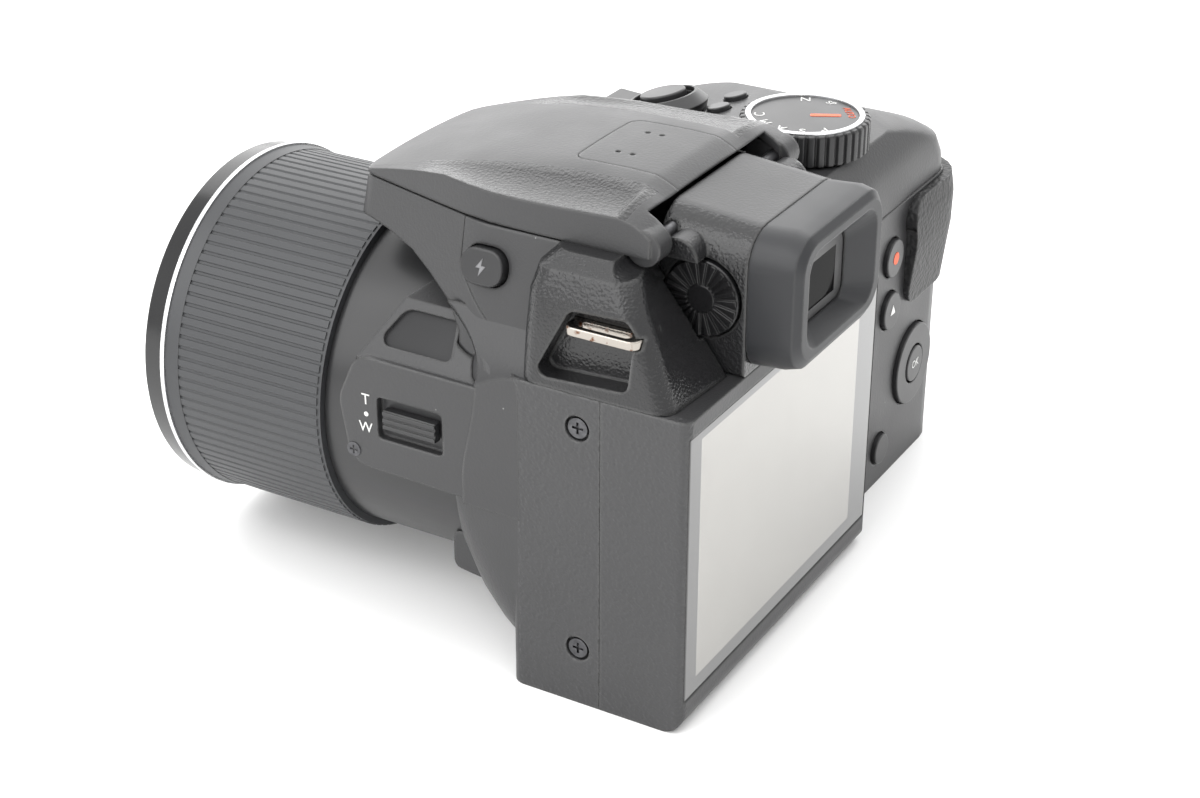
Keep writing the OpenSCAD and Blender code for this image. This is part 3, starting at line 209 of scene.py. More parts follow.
# The same ABS with an etched leather grain on the side panel: matt, with small soft hills
abs_leather = moulded("abs_leather_grain", "#303031", "#383839", 0.42, 0.7, 0.14, edge=0.8, leather=True)
# Leather grain that hands have polished: dark, with glints on the hills of the shoulders
abs_polished = moulded("abs_leather_grain_polished", "#1c1c1d", "#232324", 0.22, 0.5, 0.07, edge=0.9,
                       leather=True)
# ABS from a polished tool, satin after use: soft wide highlights on the barrel and the keys
abs_satin = moulded("abs_satin", "#212122", "#282829", 0.34, 0.2, 0.005, edge=0.3)
# Plain matt ABS, inside the camera and on the bare badge: a black that reflects little
abs_inner = moulded("abs_matt", "#131315", "#18181a", 0.6, 0.3, 0.02, dusty=False)
# Polished black polycarbonate: deep black with clear reflections
pc_gloss = moulded("polycarbonate_gloss", "#101011", "#161617", 0.22, 0.3, 0.002, edge_wear_and_highlight=0.04, dusty=False)
# Thermoplastic rubber, matt and bluish, with a dull bloom
tpe_plain = moulded("tpe_rubber_plain", "#17181b", "#1e1f22", 0.46, 0.25, 0.01, edge=0.6)
# Ribbed rubber sleeve of the lens, a little greyer on the hills, where the grey on their edges is partly wear
# and partly a painted highlight
tpe_ribbed = moulded("tpe_rubber_ribbed", "#323335", "#393a3c", 0.46, 0.3, 0.01, edge=0.15)
# Grip rubber with a leather grain: a dull black with soft hills
tpe_leather = moulded("tpe_rubber_leather_grain", "#1a1a1b", "#202021", 0.52, 0.9, 0.2, edge=0.5,
                      leather=True)
# Solder resist over copper on the boards: a glossy green
solder_resist = moulded("solder_resist_green", "#15402a", "#1c5236", 0.35, 1.2, 0.02, dusty=False)
# Shrink wrap of the battery cells: a smooth dark grey
shrink_wrap = moulded("pvc_shrink_wrap", "#3a3b3f", "#44454a", 0.3, 0.8, 0.01, dusty=False)
# White pad-printed ink, slightly uneven
ink_white = moulded("ink_white", "#dcdcda", "#f2f2f0", 0.5, 0.3, 0.004, dusty=False)
# Orange pad-printed ink: small warm marks in the black
ink_orange = moulded("ink_orange", "#d8502a", "#e66a3c", 0.5, 0.3, 0.004, dusty=False)
# Grey pad-printed ink, as on the pressed sign of the flash key
ink_grey = moulded("ink_grey", "#6c6c6e", "#7c7c7e", 0.5, 0.3, 0.004, dusty=False)
# Bright anodised aluminium, turned: thin light rings in the black
aluminium = turned("aluminium_bright_turned", "#e8e8e8", "#cfd0d2", 0.2)
# Stainless steel wire and sheet, rolled, with rust stains in the corners
steel = turned("stainless_steel_stained", "#a59f98", "#6a4630", 0.24, depth=0.02, stain=1.6, low=0.58,
               high=0.68)
# Nickel plating on brass and sheet steel: a warm, slightly dull metal
nickel = turned("nickel_plated", "#b9b6ae", "#a09c92", 0.28)
# Black-zinc screws, worn to grey on the slots
zinc_black = turned("zinc_black_screw", "#626264", "#4c4c4e", 0.3, stain=1.2)
# Chromed reflector: a mirror behind the flash tube
chrome = turned("chrome_reflector", "#eeeeee", "#e2e2e4", 0.06)
# Hardened cover glass with a black back print: mirror-like at a flat angle
border_glass = clear("cover_glass_black_print", "#0d0d0e", "#121213", 0.04, IOR=1.6, Coat_Weight=1.0,
                     Coat_IOR=1.6)
# Display at rest behind the glass: its reflecting film greys what it mirrors
display_glass = clear("cover_glass_on_display", "#9b9995", "#a5a39f", 0.16, Metallic=0.75, Coat_Weight=0.6)
# Coated optical glass, deep with a blue-green cast
optic_glass = clear("optical_glass_coated", "#0c1418", "#150f20", 0.02, IOR=1.6, Specular_IOR_Level=0.2,
                    Transmission_Weight=0.3)
# Coated eyepiece over the dark tube of the finder: almost no reflection
eye_glass = clear("eyepiece_glass_coated", "#030303", "#050506", 0.03, IOR=1.3, Specular_IOR_Level=0.05)
# Acrylic of the flash window and tube: clear, a little yellow
acrylic = clear("acrylic_clear", "#e8e8e2", "#f0f0ec", 0.05, IOR=1.49, Transmission_Weight=0.8)
# Display panel behind the glass: dark and smooth
panel_film = clear("display_film", "#16181b", "#1d2024", 0.12, IOR=1.5)


# Tools for the pieces

# Thickness of a printed mark
INK = 0.06
# Distance within which corners of a solid's triangles are one
WELD = 0.001
# Share of a font's size that its capitals are high
CAPITALS = 0.7


def smooth(bm, angle=28):
    """Smooth faces with sharp edges where the surface turns by more than angle."""
    for face in bm.faces:
        face.smooth = True
    for edge in bm.edges:
        edge.smooth = edge.is_manifold and edge.calc_face_angle(0) < math.radians(angle)


def piece(name, bm, materials, body, replaces=(), angle=28):
    """A finished object at the origin from a bmesh, riding on a body."""
    smooth(bm, angle)
    mesh = bpy.data.meshes.new(name)
    bm.to_mesh(mesh)
    bm.free()
    made = bpy.data.objects.new(name, mesh)
    bpy.context.scene.collection.objects.link(made)
    for m in materials:
        mesh.materials.append(m)
    even = made.modifiers.new("even_normals", "WEIGHTED_NORMAL")
    even.keep_sharp = True
    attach(made, body)
    if replaces:
        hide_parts(*replaces)
    return made


def merged(node):
    """A bmesh of a solid with its loose triangles joined."""
    bm = bmesh.new()
    bm.from_mesh(NODES[node].data)
    bmesh.ops.remove_doubles(bm, verts=bm.verts, dist=WELD * MM)
    return bm


def plain_faces(bm, angle=0.6):
    """Joins triangles that lie in one plane."""
    bmesh.ops.dissolve_limit(bm, angle_limit=math.radians(angle), verts=bm.verts, edges=bm.edges)


def round_edges(bm, radius, turn=40, segments=3):
    """Rounds the outward edges that turn by more than an angle."""
    sharp = [e for e in bm.edges if e.is_manifold and e.calc_face_angle_signed(0) > math.radians(turn)]
    bmesh.ops.bevel(bm, geom=sharp, offset=radius * MM, offset_type="OFFSET", segments=segments, profile=0.5,
                    affect="EDGES", clamp_overlap=True, material=-1)


def dressed(node, *materials, pick=None, angle=28, radius=0):
    """The solid as a smooth-shaded piece; pick gives a face's material number, radius rounds its edges."""
    bm = merged(node)
    if radius:
        plain_faces(bm)
        round_edges(bm, radius)
    if pick:
        for face in bm.faces:
            face.material_index = pick(face.calc_center_median() / MM, face.normal)
    return piece(node + "_piece", bm, materials, BODY_OF[node], [node], angle)


def span(node):
    """Lowest and highest corner of a solid, in millimetres."""
    low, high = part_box(node)
    return Vector(low) / MM, Vector(high) / MM


def seat(node, toward):
    """Middle and direction of a solid's largest flat face that looks a given way, in millimetres."""
    bm = merged(node)
    plain_faces(bm, 1)
    look = Vector(toward).normalized()
    face = max((f for f in bm.faces if f.normal.dot(look) > 0.85), key=lambda f: f.calc_area())
    middle, normal = face.calc_center_bounds() / MM, face.normal.copy()
    bm.free()
    return middle, normal


def lay(bm, at, normal, up=(0, 0, 1)):
    """Moves a flat drawing in millimetres from the XY plane on to a face."""
    out = Vector(normal).normalized()
    right = Vector(up).cross(out).normalized()
    turn = Matrix((right, out.cross(right), out)).transposed().to_4x4()
    bmesh.ops.transform(bm, matrix=Matrix.Scale(MM, 4) @ Matrix.Translation(at) @ turn, verts=bm.verts)


def thicken(bm, thick):
    """Gives a flat drawing its thickness, half on each side of the plane."""
    faces = bmesh.ops.extrude_face_region(bm, geom=bm.faces[:])["geom"]
    raised = [v for v in faces if isinstance(v, bmesh.types.BMVert)]
    bmesh.ops.translate(bm, vec=(0, 0, thick), verts=raised)
    bmesh.ops.translate(bm, vec=(0, 0, -thick / 2), verts=bm.verts)
    bmesh.ops.recalc_face_normals(bm, faces=bm.faces)


def letters(words, height):
    """Flat printed letters, centred."""
    text = bpy.data.curves.new("letters", "FONT")
    text.body, text.size = words, height / CAPITALS
    text.align_x, text.align_y = "CENTER", "CENTER"
    text.extrude, text.resolution_u = INK / 2, 4
    holder = bpy.data.objects.new("letters", text)
    mesh = bpy.data.meshes.new_from_object(holder)
    bm = bmesh.new()
    bm.from_mesh(mesh)
    bmesh.ops.remove_doubles(bm, verts=bm.verts, dist=WELD)
    bpy.data.objects.remove(holder)
    bpy.data.meshes.remove(mesh)
    bpy.data.curves.remove(text)
    return bm


def bar(width, height, corner):
    """Flat printed bar with round corners."""
    bm = bmesh.new()
    bmesh.ops.create_grid(bm, x_segments=1, y_segments=1, size=0.5)
    bmesh.ops.scale(bm, vec=(width, height, 1), verts=bm.verts)
    bmesh.ops.bevel(bm, geom=bm.verts[:], offset=corner, offset_type="OFFSET", segments=4, profile=0.5,
                    affect="VERTICES", material=-1)
    thicken(bm, INK)
    return bm


def spot(radius, segments=32):
    """Flat printed dot, or a triangle with three segments."""
    bm = bmesh.new()
    bmesh.ops.create_circle(bm, cap_ends=True, segments=segments, radius=radius)
    thicken(bm, INK)
    return bm


def bolt_sign(height):
    """Lightning sign in six corners."""
    bm = bmesh.new()
    corners = [(0.1, 0.5), (-0.3, -0.05), (-0.04, -0.05), (-0.1, -0.5), (0.3, 0.08), (0.04, 0.08)]
    bm.faces.new([bm.verts.new((height * x, height * y, 0)) for x, y in corners])
    thicken(bm, INK)
    return bm


def printed(name, bm, ink, node, at, normal, up=(0, 0, 1)):
    """A mark on a solid's face, riding with it."""
    lay(bm, Vector(at) + Vector(normal).normalized() * INK / 2, normal, up)
    return piece(name, bm, [ink], BODY_OF[node])


# Covers, and where their leather grain begins: the side panel's face and front edge, the shoulder beside the
# finder, the lid's scallops, which widen to the rear, and the finder's flanks

PANEL_FACE_X = 28.5
PANEL_FRONT_Y = -9.8
SHOULDER_X = 16
SHOULDER_FRONT_Y = -9.2
SHOULDER_FOOT_Z = 56
LID_FLAT_X = 13.2
LID_FLAT_SPREAD = 0.065
LID_SPREAD_Y = -9.0
SCALLOP_FRONT_Y = -35.5
SCALLOP_REAR_Y = 4
SCALLOP_UP = 0.5
FINDER_TOP_UP = 0.93


def front_pick(c, n):
    """Leather grain on the side panel, fine grain elsewhere."""
    return 1 if c.x > PANEL_FACE_X and c.y > PANEL_FRONT_Y else 0


def top_pick(c, n):
    """Leather grain on the shoulder beside the finder."""
    return 1 if c.x > SHOULDER_X and c.y > SHOULDER_FRONT_Y and c.z > SHOULDER_FOOT_Z else 0


def lid_pick(c, n):
    """Leather grain in the long scallops beside the lid's flat top."""
    flat = LID_FLAT_X + LID_FLAT_SPREAD * max(0.0, LID_SPREAD_Y - c.y)
    return 1 if abs(c.x) > flat and n.z > SCALLOP_UP and SCALLOP_FRONT_Y < c.y < SCALLOP_REAR_Y else 0


def finder_pick(c, n):
    """Leather grain on the flanks of the finder, fine grain on its top."""
    return 0 if n.z > FINDER_TOP_UP else 1


dressed("front_cover", abs_fine, abs_leather, pick=front_pick)
dressed("rear_cover", abs_fine, abs_leather, pick=front_pick)
dressed("top_cover", abs_fine, abs_polished, pick=top_pick)
dressed("viewfinder_housing", abs_fine, abs_polished, pick=finder_pick)
dressed("flash_lid", abs_fine, abs_polished, pick=lid_pick)
dressed("microphone_plate", abs_fine)
dressed("base_plate", abs_fine)
dressed("battery_door", abs_fine, radius=0.25)
dressed("eyecup", tpe_plain)
dressed("grip_rubber", tpe_leather)
dressed("thumb_rest", tpe_leather)
dressed("terminal_cover", tpe_plain, radius=0.3)

# Cheek of the front cover: a fillet from the hump's flank down to the side, and the edge below it

# Place across of the side panel and of the hump's flank
PANEL_X = span("front_cover")[1].x
FLANK_X = 26.9
# Rear end and length along the lens axis, height of the foot, and thickness of the two skins
CHEEK_REAR = -7.4
CHEEK_LONG = 10.2
CHEEK_FOOT = 30.9
FILLET_SKIN = 0.8
EDGE_SKIN = 0.7
# The line where both meet: how far it is sunk in the panel and draws in, its height and its fall
LEDGE_SUNK = 0.3
LEDGE_IN = 0.2
LEDGE_Z = 55.9
LEDGE_FALL = 3.4
# The fillet's height at its rear and gain to the front, and how hollow it is there and how much less ahead
FILLET_HIGH = 7.0
FILLET_GAIN = 3.5
HOLLOW = 1.7
HOLLOW_LESS = 0.6
# The height from which the fillet's front leans forward, and by how much
LEAN_FROM = 53.2
LEAN = 0.09
# The edge: its rear end, its front line at the top, and the swing of that line lower down
EDGE_REAR_Y = -9.2
EDGE_TOP_Y = -17.4
EDGE_SWING = 2.6
SWING_FULL = 1.32
SWING_SLOPE = 1.36
# How far the edge stands over the zoom cover and rises to the rear, and the bend into the ledge
EDGE_OVER = 0.2
EDGE_RISE = 0.17
BEND_HIGH = 3.5
BEND_POWER = 1.6


def cheek_ledge(y):
    """Place across and height of the line where fillet and edge meet, by the place along the lens axis."""
    ahead = (CHEEK_REAR - y) / CHEEK_LONG
    return PANEL_X - LEDGE_SUNK - LEDGE_IN * ahead ** 2, LEDGE_Z - LEDGE_FALL * ahead ** 2


def cheek_fillet():
    """A hollow skin from the hump's flank out to the ledge, leaning forward at its front."""
    bm = bmesh.new()
    bmesh.ops.create_grid(bm, x_segments=12, y_segments=12, size=0.5)
    for v in bm.verts:
        across, ahead = v.co.x + 0.5, v.co.y + 0.5
        y = CHEEK_REAR - CHEEK_LONG * ahead
        outer, foot = cheek_ledge(y)
        z = foot + (FILLET_HIGH + FILLET_GAIN * ahead ** 2) * (1 - across) ** (HOLLOW - HOLLOW_LESS * ahead)
        y -= LEAN * (max(0.0, z - LEAN_FROM) * ahead) ** 2
        v.co = Vector((FLANK_X + (outer - FLANK_X) * across, y, z)) * MM
    bmesh.ops.solidify(bm, geom=bm.faces[:], thickness=FILLET_SKIN * MM)
    bmesh.ops.recalc_face_normals(bm, faces=bm.faces)
    piece("cheek_fillet", bm, [abs_fine], BODY_OF["front_cover"])


def cheek_edge():
    """The front cover's edge that laps over the rear end of the zoom cover in one soft curve."""
    bm = bmesh.new()
    bmesh.ops.create_grid(bm, x_segments=8, y_segments=28, size=0.5)
    face_x = span("zoom_switch_cover")[1].x
    for v in bm.verts:
        across, up = v.co.x + 0.5, v.co.y + 0.5
        low = min(1.0, max(0.0, SWING_FULL - SWING_SLOPE * up))
        edge_y = EDGE_TOP_Y - EDGE_SWING * low * low * (3 - 2 * low)
        y = edge_y + (EDGE_REAR_Y - edge_y) * across
        ledge_x, ledge_z = cheek_ledge(y)
        z = CHEEK_FOOT + (ledge_z - CHEEK_FOOT) * up
        flat_x = face_x + EDGE_OVER + EDGE_RISE * across
        bent = max(0.0, 1 - (ledge_z - z) / BEND_HIGH) ** BEND_POWER
        v.co = Vector((flat_x + (ledge_x - flat_x) * bent, y, z)) * MM
    grown = bmesh.ops.extrude_face_region(bm, geom=bm.faces[:])["geom"]
    inner = [v for v in grown if isinstance(v, bmesh.types.BMVert)]
    bmesh.ops.translate(bm, vec=(-EDGE_SKIN * MM, 0, 0), verts=inner)
    bmesh.ops.recalc_face_normals(bm, faces=bm.faces)
    piece("cheek_edge", bm, [abs_fine], BODY_OF["front_cover"])


cheek_fillet()
cheek_edge()

# Lens

# Depth of the sleeve's grooves as cut and as worn, how far its rim stands over the ribs, and the play in
# telling the groove's floor from the crown
GROOVE = 0.4
WORN_GROOVE = 0.24
RIM_OUT = 0.4
FLOOR_PLAY = 0.2
CROWN_PLAY = 0.1


def rubber_sleeve():
    """The sleeve with its grooves worn shallower and rounder than they were cut."""
    low, high = span("lens_sleeve")
    axis = (low.z + high.z) / 2
    crown = (high.x - low.x) / 2 - RIM_OUT
    bm = merged("lens_sleeve")
    for v in bm.verts:
        off = Vector((v.co.x, v.co.z - axis * MM))
        if crown - GROOVE - FLOOR_PLAY < off.length / MM < crown - CROWN_PLAY:
            off *= (crown - WORN_GROOVE) * MM / off.length
            v.co.x, v.co.z = off.x, off.y + axis * MM
    piece("lens_sleeve_piece", bm, [tpe_ribbed], BODY_OF["lens_sleeve"],
          ["lens_sleeve"], 50)


rubber_sleeve()
dressed("lens_base", abs_satin)
dressed("front_ring", pc_gloss)
dressed("bright_ring", aluminium)
dressed("zoom_slider", abs_satin, radius=0.2)
for tube in ("lens_tube_outer", "lens_tube_inner", "lens_trim"):
    dressed(tube, abs_satin)
dressed("front_lens", optic_glass)
dressed("rear_lens", optic_glass)


# End of the zoom cover under the cheek, and its round corners: at the slider's slot and at its own edges
ZOOM_COVER_END = -16.4
SLOT_CORNER = 0.9
COVER_EDGE = 0.5
# How far round the slider the slot's corners lie
SLOT_NEAR_Y = 2
SLOT_NEAR_Z = 3
# The badge plate: growth over the solid, how far it stands out of the face and sits to the rear, its edge
BADGE_GROWTH = 1.36
BADGE_OUT = 0.2
BADGE_BACK = 0.8
BADGE_EDGE = 0.12
# Size of the side screws' heads against the solids', which fill their holes
SIDE_SCREW = 0.82


def zoom_cover():
    """The cover with its slot's corners and its own edges rounded, cut short under the cheek."""
    low, high = span("zoom_slider")
    bm = merged("zoom_switch_cover")
    plain_faces(bm)

    def by_slot(v):
        y, z = v.co.y / MM, v.co.z / MM
        return (low.y - SLOT_NEAR_Y < y < high.y + SLOT_NEAR_Y
                and low.z - SLOT_NEAR_Z < z < high.z + SLOT_NEAR_Z)

    corners = [e for e in bm.edges if e.is_manifold and e.calc_face_angle_signed(0) < math.radians(-60)
               and abs((e.verts[0].co - e.verts[1].co).normalized().x) > 0.95
               and all(by_slot(v) for v in e.verts)]
    bmesh.ops.bevel(bm, geom=corners, offset=SLOT_CORNER * MM, offset_type="OFFSET", segments=4, profile=0.5,
                    affect="EDGES", clamp_overlap=True, material=-1)
    bmesh.ops.bisect_plane(bm, geom=bm.verts[:] + bm.edges[:] + bm.faces[:],
                           plane_co=(0, ZOOM_COVER_END * MM, 0), plane_no=(0, 1, 0), dist=WELD * MM,
                           clear_outer=True)
    bmesh.ops.holes_fill(bm, edges=[e for e in bm.edges if e.is_boundary])
    round_edges(bm, COVER_EDGE)
    piece("zoom_switch_cover_piece", bm, [abs_fine], BODY_OF["zoom_switch_cover"],
          ["zoom_switch_cover"], 35)


def bare_badge():
    """The bare plate, grown to the length of the cover's leaning face and laid on it."""
    middle, out = seat("badge_plate", (1, 0, 0.8))
    face = seat("zoom_switch_cover", out)[0]
    along = Vector((0, 1, 0))
    bm = merged("badge_plate")
    plain_faces(bm)
    grow = Matrix.Scale(BADGE_GROWTH, 4, along) @ Matrix.Scale(BADGE_GROWTH, 4, out.cross(along))
    place = middle + out * ((face - middle).dot(out) + BADGE_OUT) + along * BADGE_BACK
    bmesh.ops.transform(bm, matrix=Matrix.Translation(place * MM) @ grow @ Matrix.Translation(-middle * MM),
                        verts=bm.verts)
    round_edges(bm, BADGE_EDGE)
    piece("badge_plate_piece", bm, [abs_inner], BODY_OF["badge_plate"],
          ["badge_plate"])


def cross_screws(size):
    """The two side screws, their heads a little smaller than the holes they sink in."""
    bm = merged("case_screws")
    low, high = span("case_screws")
    half = (low.z + high.z) / 2 * MM
    for head in ([v for v in bm.verts if v.co.z < half], [v for v in bm.verts if v.co.z > half]):
        middle = sum((v.co for v in head), Vector()) / len(head)
        bmesh.ops.scale(bm, vec=(1, size, size), space=Matrix.Translation(-middle), verts=head)
    return bm


zoom_cover()
bare_badge()
piece("case_screws_piece", cross_screws(SIDE_SCREW), [zinc_black], BODY_OF["case_screws"],
      ["case_screws"])

# Keys, dials and metal

for key in ("shutter_button", "zoom_ring", "flash_button"):
    dressed(key, abs_satin, radius=0.45)
for key in ("power_button", "exposure_button", "movie_button", "play_button", "back_button", "finder_button",
            "selector_pad", "ok_button"):
    dressed(key, abs_satin, radius=0.3)
dressed("dial_ring", aluminium, radius=0.15)
dressed("strap_lugs", steel, radius=0.3)
dressed("flash_pins", zinc_black)
for metal in ("tripod_bush", "chassis", "terminal_sockets"):
    dressed(metal, nickel)

# Inner pieces

for inner in ("rear_lens_cell", "flash_case", "finder_display", "battery_box", "flash_capacitor",
              "door_latch", "image_sensor"):
    dressed(inner, abs_inner)
dressed("flash_reflector", chrome)
dressed("flash_window", acrylic)
dressed("flash_tube", acrylic)
dressed("screen_panel", panel_film)
dressed("main_board", solder_resist)
dressed("key_board", solder_resist)
dressed("battery_cells", shrink_wrap)


# Screen and eyepiece: one pane each, with a dark border round the part that is looked through

def pane(node, inner, outer, left, right, below, above, radius):
    """A pane with a border of the given widths on its rear face."""
    low, high = span(node)
    bm = merged(node)
    plain_faces(bm)
    round_edges(bm, radius)
    cuts = [((low.x + left, 0, 0), (1, 0, 0)), ((high.x - right, 0, 0), (1, 0, 0)),
            ((0, 0, low.z + below), (0, 0, 1)), ((0, 0, high.z - above), (0, 0, 1))]
    for at, normal in cuts:
        bmesh.ops.bisect_plane(bm, geom=bm.verts[:] + bm.edges[:] + bm.faces[:], plane_co=Vector(at) * MM,
                               plane_no=normal, dist=WELD * MM)
    for face in bm.faces:
        c = face.calc_center_median() / MM
        within = low.x + left < c.x < high.x - right and low.z + below < c.z < high.z - above
        face.material_index = 1 if within and face.normal.y > 0.9 else 0
    piece(node + "_piece", bm, [outer, inner], BODY_OF[node], [node])


# Half the width of the eyepiece that is looked through, and its border above and below
EYE_HALF = 4.6
EYE_BORDER = 4.2
pane("screen_glass", display_glass, border_glass, left=7.0, right=3.6, below=2.9, above=1.4, radius=0.3)
eye_low, eye_high = span("eyepiece_window")
eye_side = (eye_high.x - eye_low.x) / 2 - EYE_HALF
pane("eyepiece_window", eye_glass, abs_satin, left=eye_side, right=eye_side, below=EYE_BORDER,
     above=EYE_BORDER, radius=0.2)


# Round pieces raised from a disc in steps of radius and height

def disc(segments, radius):
    """A new bmesh with one round face, and that face."""
    bm = bmesh.new()
    bmesh.ops.create_circle(bm, cap_ends=True, segments=segments, radius=radius)
    return bm, bm.faces[:][0]


def step(bm, face, radius, up):
    """Continues a face to a new radius, which may change with the angle, and a new height."""
    grown = bmesh.ops.extrude_face_region(bm, geom=[face])["geom"]
    for v in grown:
        if isinstance(v, bmesh.types.BMVert):
            reach = radius(math.atan2(v.co.y, v.co.x)) if callable(radius) else radius
            v.co.xy = v.co.xy.normalized() * reach
            v.co.z += up
    if any(len(e.link_faces) > 2 for e in face.edges):
        bmesh.ops.delete(bm, geom=[face], context="FACES_ONLY")
    return next(f for f in grown if isinstance(f, bmesh.types.BMFace))


def shaft(bm, radius, length):
    """A shaft from the underside of a round piece."""
    foot = min(bm.faces, key=lambda f: f.calc_center_median().z)
    step(bm, step(bm, foot, radius, 0), radius, -length)
    bmesh.ops.recalc_face_normals(bm, faces=bm.faces)


# Mode dial: knurled skirt, seat for the bright ring, sunk top with its marks, shaft

DIAL_HEIGHT = 5.8
DIAL_TEETH = 40
TOOTH_DEPTH = 0.55
TOOTH_ROUND = 0.6
DIAL_SHAFT_R = 3.0
dial_low, dial_high = span("mode_dial")
dial_middle = Vector(((dial_low.x + dial_high.x) / 2, (dial_low.y + dial_high.y) / 2,
                      dial_high.z - DIAL_HEIGHT))
dial_r = (dial_high.x - dial_low.x) / 2


def knurl(radius):
    """Radius of a skirt with round-bottomed grooves, by the angle."""
    return lambda turn: radius - TOOTH_DEPTH * max(0.0, math.cos(turn * DIAL_TEETH)) ** TOOTH_ROUND


# Radius and rise of each step: foot, skirt, its top edge, rim, wall and floor of the ring's seat, sunk top
DIAL_STEPS = [(knurl(dial_r), 0.3), (knurl(dial_r), DIAL_HEIGHT - 0.8), (knurl(dial_r - 0.3), 0.4),
              (dial_r - 0.95, 0.1), (dial_r - 0.97, -0.45), (dial_r - 2.03, 0), (dial_r - 2.03, 0.3)]
DIAL_FOOT_IN = 0.9
bm, top = disc(DIAL_TEETH * 8, dial_r - DIAL_FOOT_IN)
for radius, up in DIAL_STEPS:
    top = step(bm, top, radius, up)
shaft(bm, DIAL_SHAFT_R, dial_high.z - DIAL_HEIGHT - dial_low.z)
lay(bm, dial_middle, (0, 0, 1), (0, 1, 0))
piece("mode_dial_piece", bm, [abs_satin], BODY_OF["mode_dial"], ["mode_dial"], 40)

# Each mark, the angle it stands at and its ink; how far out the marks and the bar lie, and their heights
DIAL_MARKS = [("C", -62, ink_white), ("M", -34, ink_white), ("A", -6, ink_white), ("S", 22, ink_white),
              ("P", 50, ink_white), ("AUTO", 128, ink_orange), ("SP", 170, ink_white), ("N", 205, ink_white)]
DIAL_SUNK = 0.15
MARK_R = 7.9
LETTER_HIGH = 1.9
WORD_HIGH = 1.3
BAR_TURN = 118
BAR_R = 3.6
dial_top = dial_middle + Vector((0, 0, DIAL_HEIGHT - DIAL_SUNK))


def spoke(turn):
    """Direction outward in the flat at an angle in degrees."""
    return Vector((math.cos(math.radians(turn)), math.sin(math.radians(turn)), 0))


for words, turn, ink in DIAL_MARKS:
    out = spoke(turn)
    printed("dial_mark_" + words, letters(words, LETTER_HIGH if len(words) == 1 else WORD_HIGH), ink,
            "mode_dial", dial_top + out * MARK_R, (0, 0, 1), out)
rear = spoke(BAR_TURN)
printed("dial_bar", bar(1.2, 5.4, 0.25), ink_orange, "mode_dial", dial_top + rear * BAR_R, (0, 0, 1), rear)


# Dioptre wheel: rim, radial ribs, hub

WHEEL_RIBS = 22
WHEEL_THICK = 2.2
WHEEL_EDGE = 0.15
RIB_RISE = 0.4
HUB_R = 2.4
HUB_TOP_R = 2.2
HUB_RISE = 0.25
PIP_R = 1.2
PIP_RISE = 0.05
WHEEL_SHAFT_R = 1.5
wheel_low, wheel_high = span("dioptre_wheel")
wheel_r = (wheel_high.z - wheel_low.z) / 2
bm, top = disc(WHEEL_RIBS * 4, wheel_r)
for radius, up in ((wheel_r, WHEEL_THICK - RIB_RISE - WHEEL_EDGE), (wheel_r - WHEEL_EDGE, WHEEL_EDGE)):
    top = step(bm, top, radius, up)
hub = step(bm, top, HUB_R, 0)
band = [f for f in bm.faces if f.normal.z > 0.9 and f is not hub]
ribs = [f for f in band
        if math.atan2(*f.calc_center_median().yx) % (math.tau / WHEEL_RIBS) < math.pi / WHEEL_RIBS]
raised = bmesh.ops.extrude_face_region(bm, geom=ribs)["geom"]
bmesh.ops.delete(bm, geom=ribs, context="FACES_ONLY")
for v in raised:
    if isinstance(v, bmesh.types.BMVert):
        v.co.z += RIB_RISE
step(bm, step(bm, hub, HUB_TOP_R, HUB_RISE), PIP_R, PIP_RISE)
shaft(bm, WHEEL_SHAFT_R, wheel_high.x - WHEEL_THICK - wheel_low.x)
wheel_middle = (wheel_low + wheel_high) / 2
lay(bm, (wheel_high.x - WHEEL_THICK, wheel_middle.y, wheel_middle.z), (1, 0, 0))
piece("dioptre_wheel_piece", bm, [pc_gloss], BODY_OF["dioptre_wheel"],
      ["dioptre_wheel"], 40)


# Printed marks and small fasteners

side_x = span("zoom_switch_cover")[1].x
for name, bm, at in (("zoom_mark_tele", letters("T", 1.9), (-38.4, 44.7)),
                     ("zoom_mark_dot", spot(0.42), (-38.4, 42.1)),
                     ("zoom_mark_wide", letters("W", 1.8), (-38.6, 39.6))):
    printed(name, bm, ink_white, "zoom_switch_cover", (side_x, *at), (1, 0, 0))

flash_face, flash_out = seat("flash_button", (1, 0, 0.2))
printed("flash_sign", bolt_sign(3.0), ink_grey, "flash_button", flash_face, flash_out)
for node, name, bm, ink in (("movie_button", "movie_dot", spot(1.2), ink_orange),
                            ("play_button", "play_sign", spot(1.2, 3), ink_white),
                            ("ok_button", "ok_sign", letters("OK", 1.5), ink_white)):
    face, out = seat(node, (0, 1, 0))
    printed(name, bm, ink, node, face, out)

# The zoom ring's two marks lie on its sloping rim, on the falling deck: how far out and down from the middle
# of the shutter button they are, and the rim's slope outward and up
DECK_TILT = math.radians(14)
RIM_MARK_OUT = 7.55
RIM_MARK_DOWN = 2.35
RIM_OUTWARD = 0.743
RIM_UPWARD = 0.669
shutter_face = seat("shutter_button", (0, -math.sin(DECK_TILT), math.cos(DECK_TILT)))[0]
deck_turn = Matrix.Rotation(DECK_TILT, 3, "X")
for turn in (38, 74):
    out = spoke(turn)
    printed("zoom_ring_mark_%d" % turn, bar(2.0, 1.0, 0.2), ink_white, "zoom_ring",
            shutter_face + deck_turn @ (out * RIM_MARK_OUT + Vector((0, 0, -RIM_MARK_DOWN))),
            deck_turn @ (out * RIM_OUTWARD + Vector((0, 0, RIM_UPWARD))), (0, 0, 1))

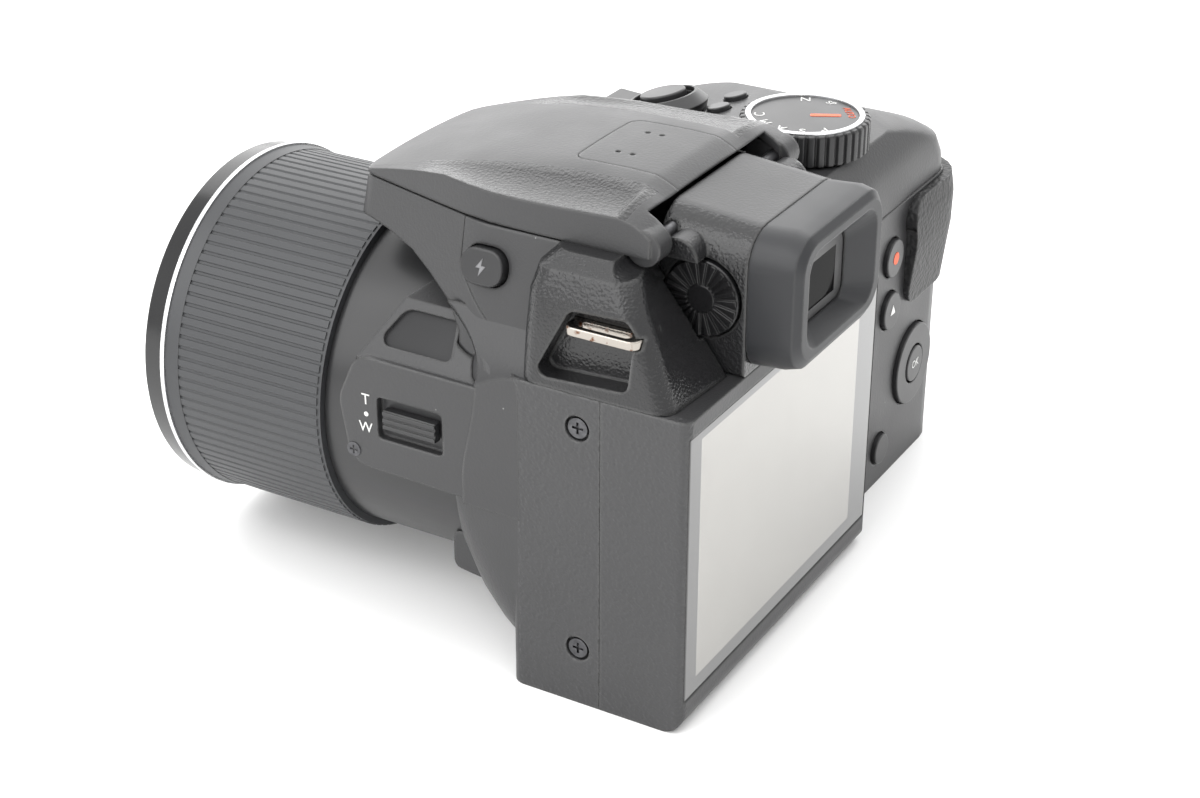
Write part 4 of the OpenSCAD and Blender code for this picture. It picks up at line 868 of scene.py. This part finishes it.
# Cross-head screw at the corner of the zoom cover, smaller than those in the side: its head's size against
# the solids', how far it stands out, its place along and up, and the height of a side screw's own middle
COVER_SCREW = 0.62
SCREW_OUT = 0.15
SCREW_Y = -41.2
SCREW_Z = 34.9
SCREW_MIDDLE = 2.1
bm = cross_screws(COVER_SCREW)
low, high = span("case_screws")
half = (low.z + high.z) / 2 * MM
bmesh.ops.delete(bm, geom=[v for v in bm.verts if v.co.z > half], context="VERTS")
shift = Vector((side_x + SCREW_OUT - high.x, SCREW_Y - (low.y + high.y) / 2,
                SCREW_Z - (low.z + SCREW_MIDDLE)))
bmesh.ops.translate(bm, vec=shift * MM, verts=bm.verts)
piece("cover_screw", bm, [zinc_black], BODY_OF["zoom_switch_cover"])


# Studio

def stage_floor():
    """A sheet of white paper, its tone uneven by a trace."""
    bm = bmesh.new()
    bmesh.ops.create_grid(bm, x_segments=2, y_segments=2, size=3.0)
    mesh = bpy.data.meshes.new("floor")
    bm.to_mesh(mesh)
    bm.free()
    made = bpy.data.objects.new("floor", mesh)
    bpy.context.scene.collection.objects.link(made)
    paper, tree, shader = finish("paper_white", Roughness=0.9)
    place = add(tree, "ShaderNodeTexCoord").outputs["Object"]
    fibre = add(tree, "ShaderNodeTexNoise", {"Vector": place, "Scale": per_mm(40), "Detail": 2.0})
    tone = add(tree, "ShaderNodeMix",
               {"Factor": fibre.outputs["Fac"], 6: linear("#f7f7f6"), 7: linear("#fafafa")}, data_type="RGBA")
    tree.links.new(tone.outputs[2], shader.inputs["Base Color"])
    mesh.materials.append(paper)


def softbox(name, at, aim, size, power):
    """A rectangular light at a place, in metres and watts, that looks at another."""
    lamp = bpy.data.lights.new(name, "AREA")
    lamp.shape = "RECTANGLE"
    lamp.size, lamp.size_y = size
    lamp.energy = power
    made = bpy.data.objects.new(name, lamp)
    made.location = at
    made.rotation_euler = (Vector(aim) - Vector(at)).to_track_quat("-Z", "Y").to_euler()
    bpy.context.scene.collection.objects.link(made)


def studio():
    """White surroundings and three softboxes: above, beyond the grip, and on the zoom slider's side."""
    world = bpy.data.worlds.new("studio")
    world.use_nodes = True
    tree = world.node_tree
    tree.nodes["Background"].inputs["Color"].default_value = (1, 1, 1, 1)
    tree.nodes["Background"].inputs["Strength"].default_value = 1.1
    bpy.context.scene.world = world
    bpy.context.scene.view_settings.view_transform = "Standard"
    softbox("top_light", at=(0, 0, 1.0), aim=(0, 0, 0), size=(1.6, 1.6), power=9)
    softbox("back_light", at=(-0.92, -0.53, 0.62), aim=(0, 0, 0.05), size=(1.8, 1.1), power=11)
    softbox("side_light", at=(0.95, -0.35, 0.75), aim=(0.02, 0, 0.04), size=(1.2, 1.2), power=11)


def photo_camera():
    """The photograph's camera, fitted to the object's known sizes, for a frame of 1200 x 798."""
    az, el, roll = math.radians(120.07), math.radians(27.42), math.radians(0.18)
    stand = (0.29483, 0.15665, 0.21305)
    back = Vector((math.cos(el) * math.sin(az), -math.cos(el) * math.cos(az), math.sin(el)))
    right = Vector((0, 0, 1)).cross(back).normalized()
    up = back.cross(right)
    right = right * math.cos(roll) + up * math.sin(roll)
    up = back.cross(right)
    lens = bpy.data.cameras.new("photo_camera")
    lens.lens = 68.0
    lens.sensor_width = 36.0
    lens.clip_start = 0.01
    made = bpy.data.objects.new("photo_camera", lens)
    turn = Matrix((right, up, back)).transposed().to_4x4()
    made.matrix_world = Matrix.Translation(stand) @ turn
    bpy.context.scene.collection.objects.link(made)
    bpy.context.scene.camera = made


stage_floor()
studio()
photo_camera()

bpy.context.view_layer.update()
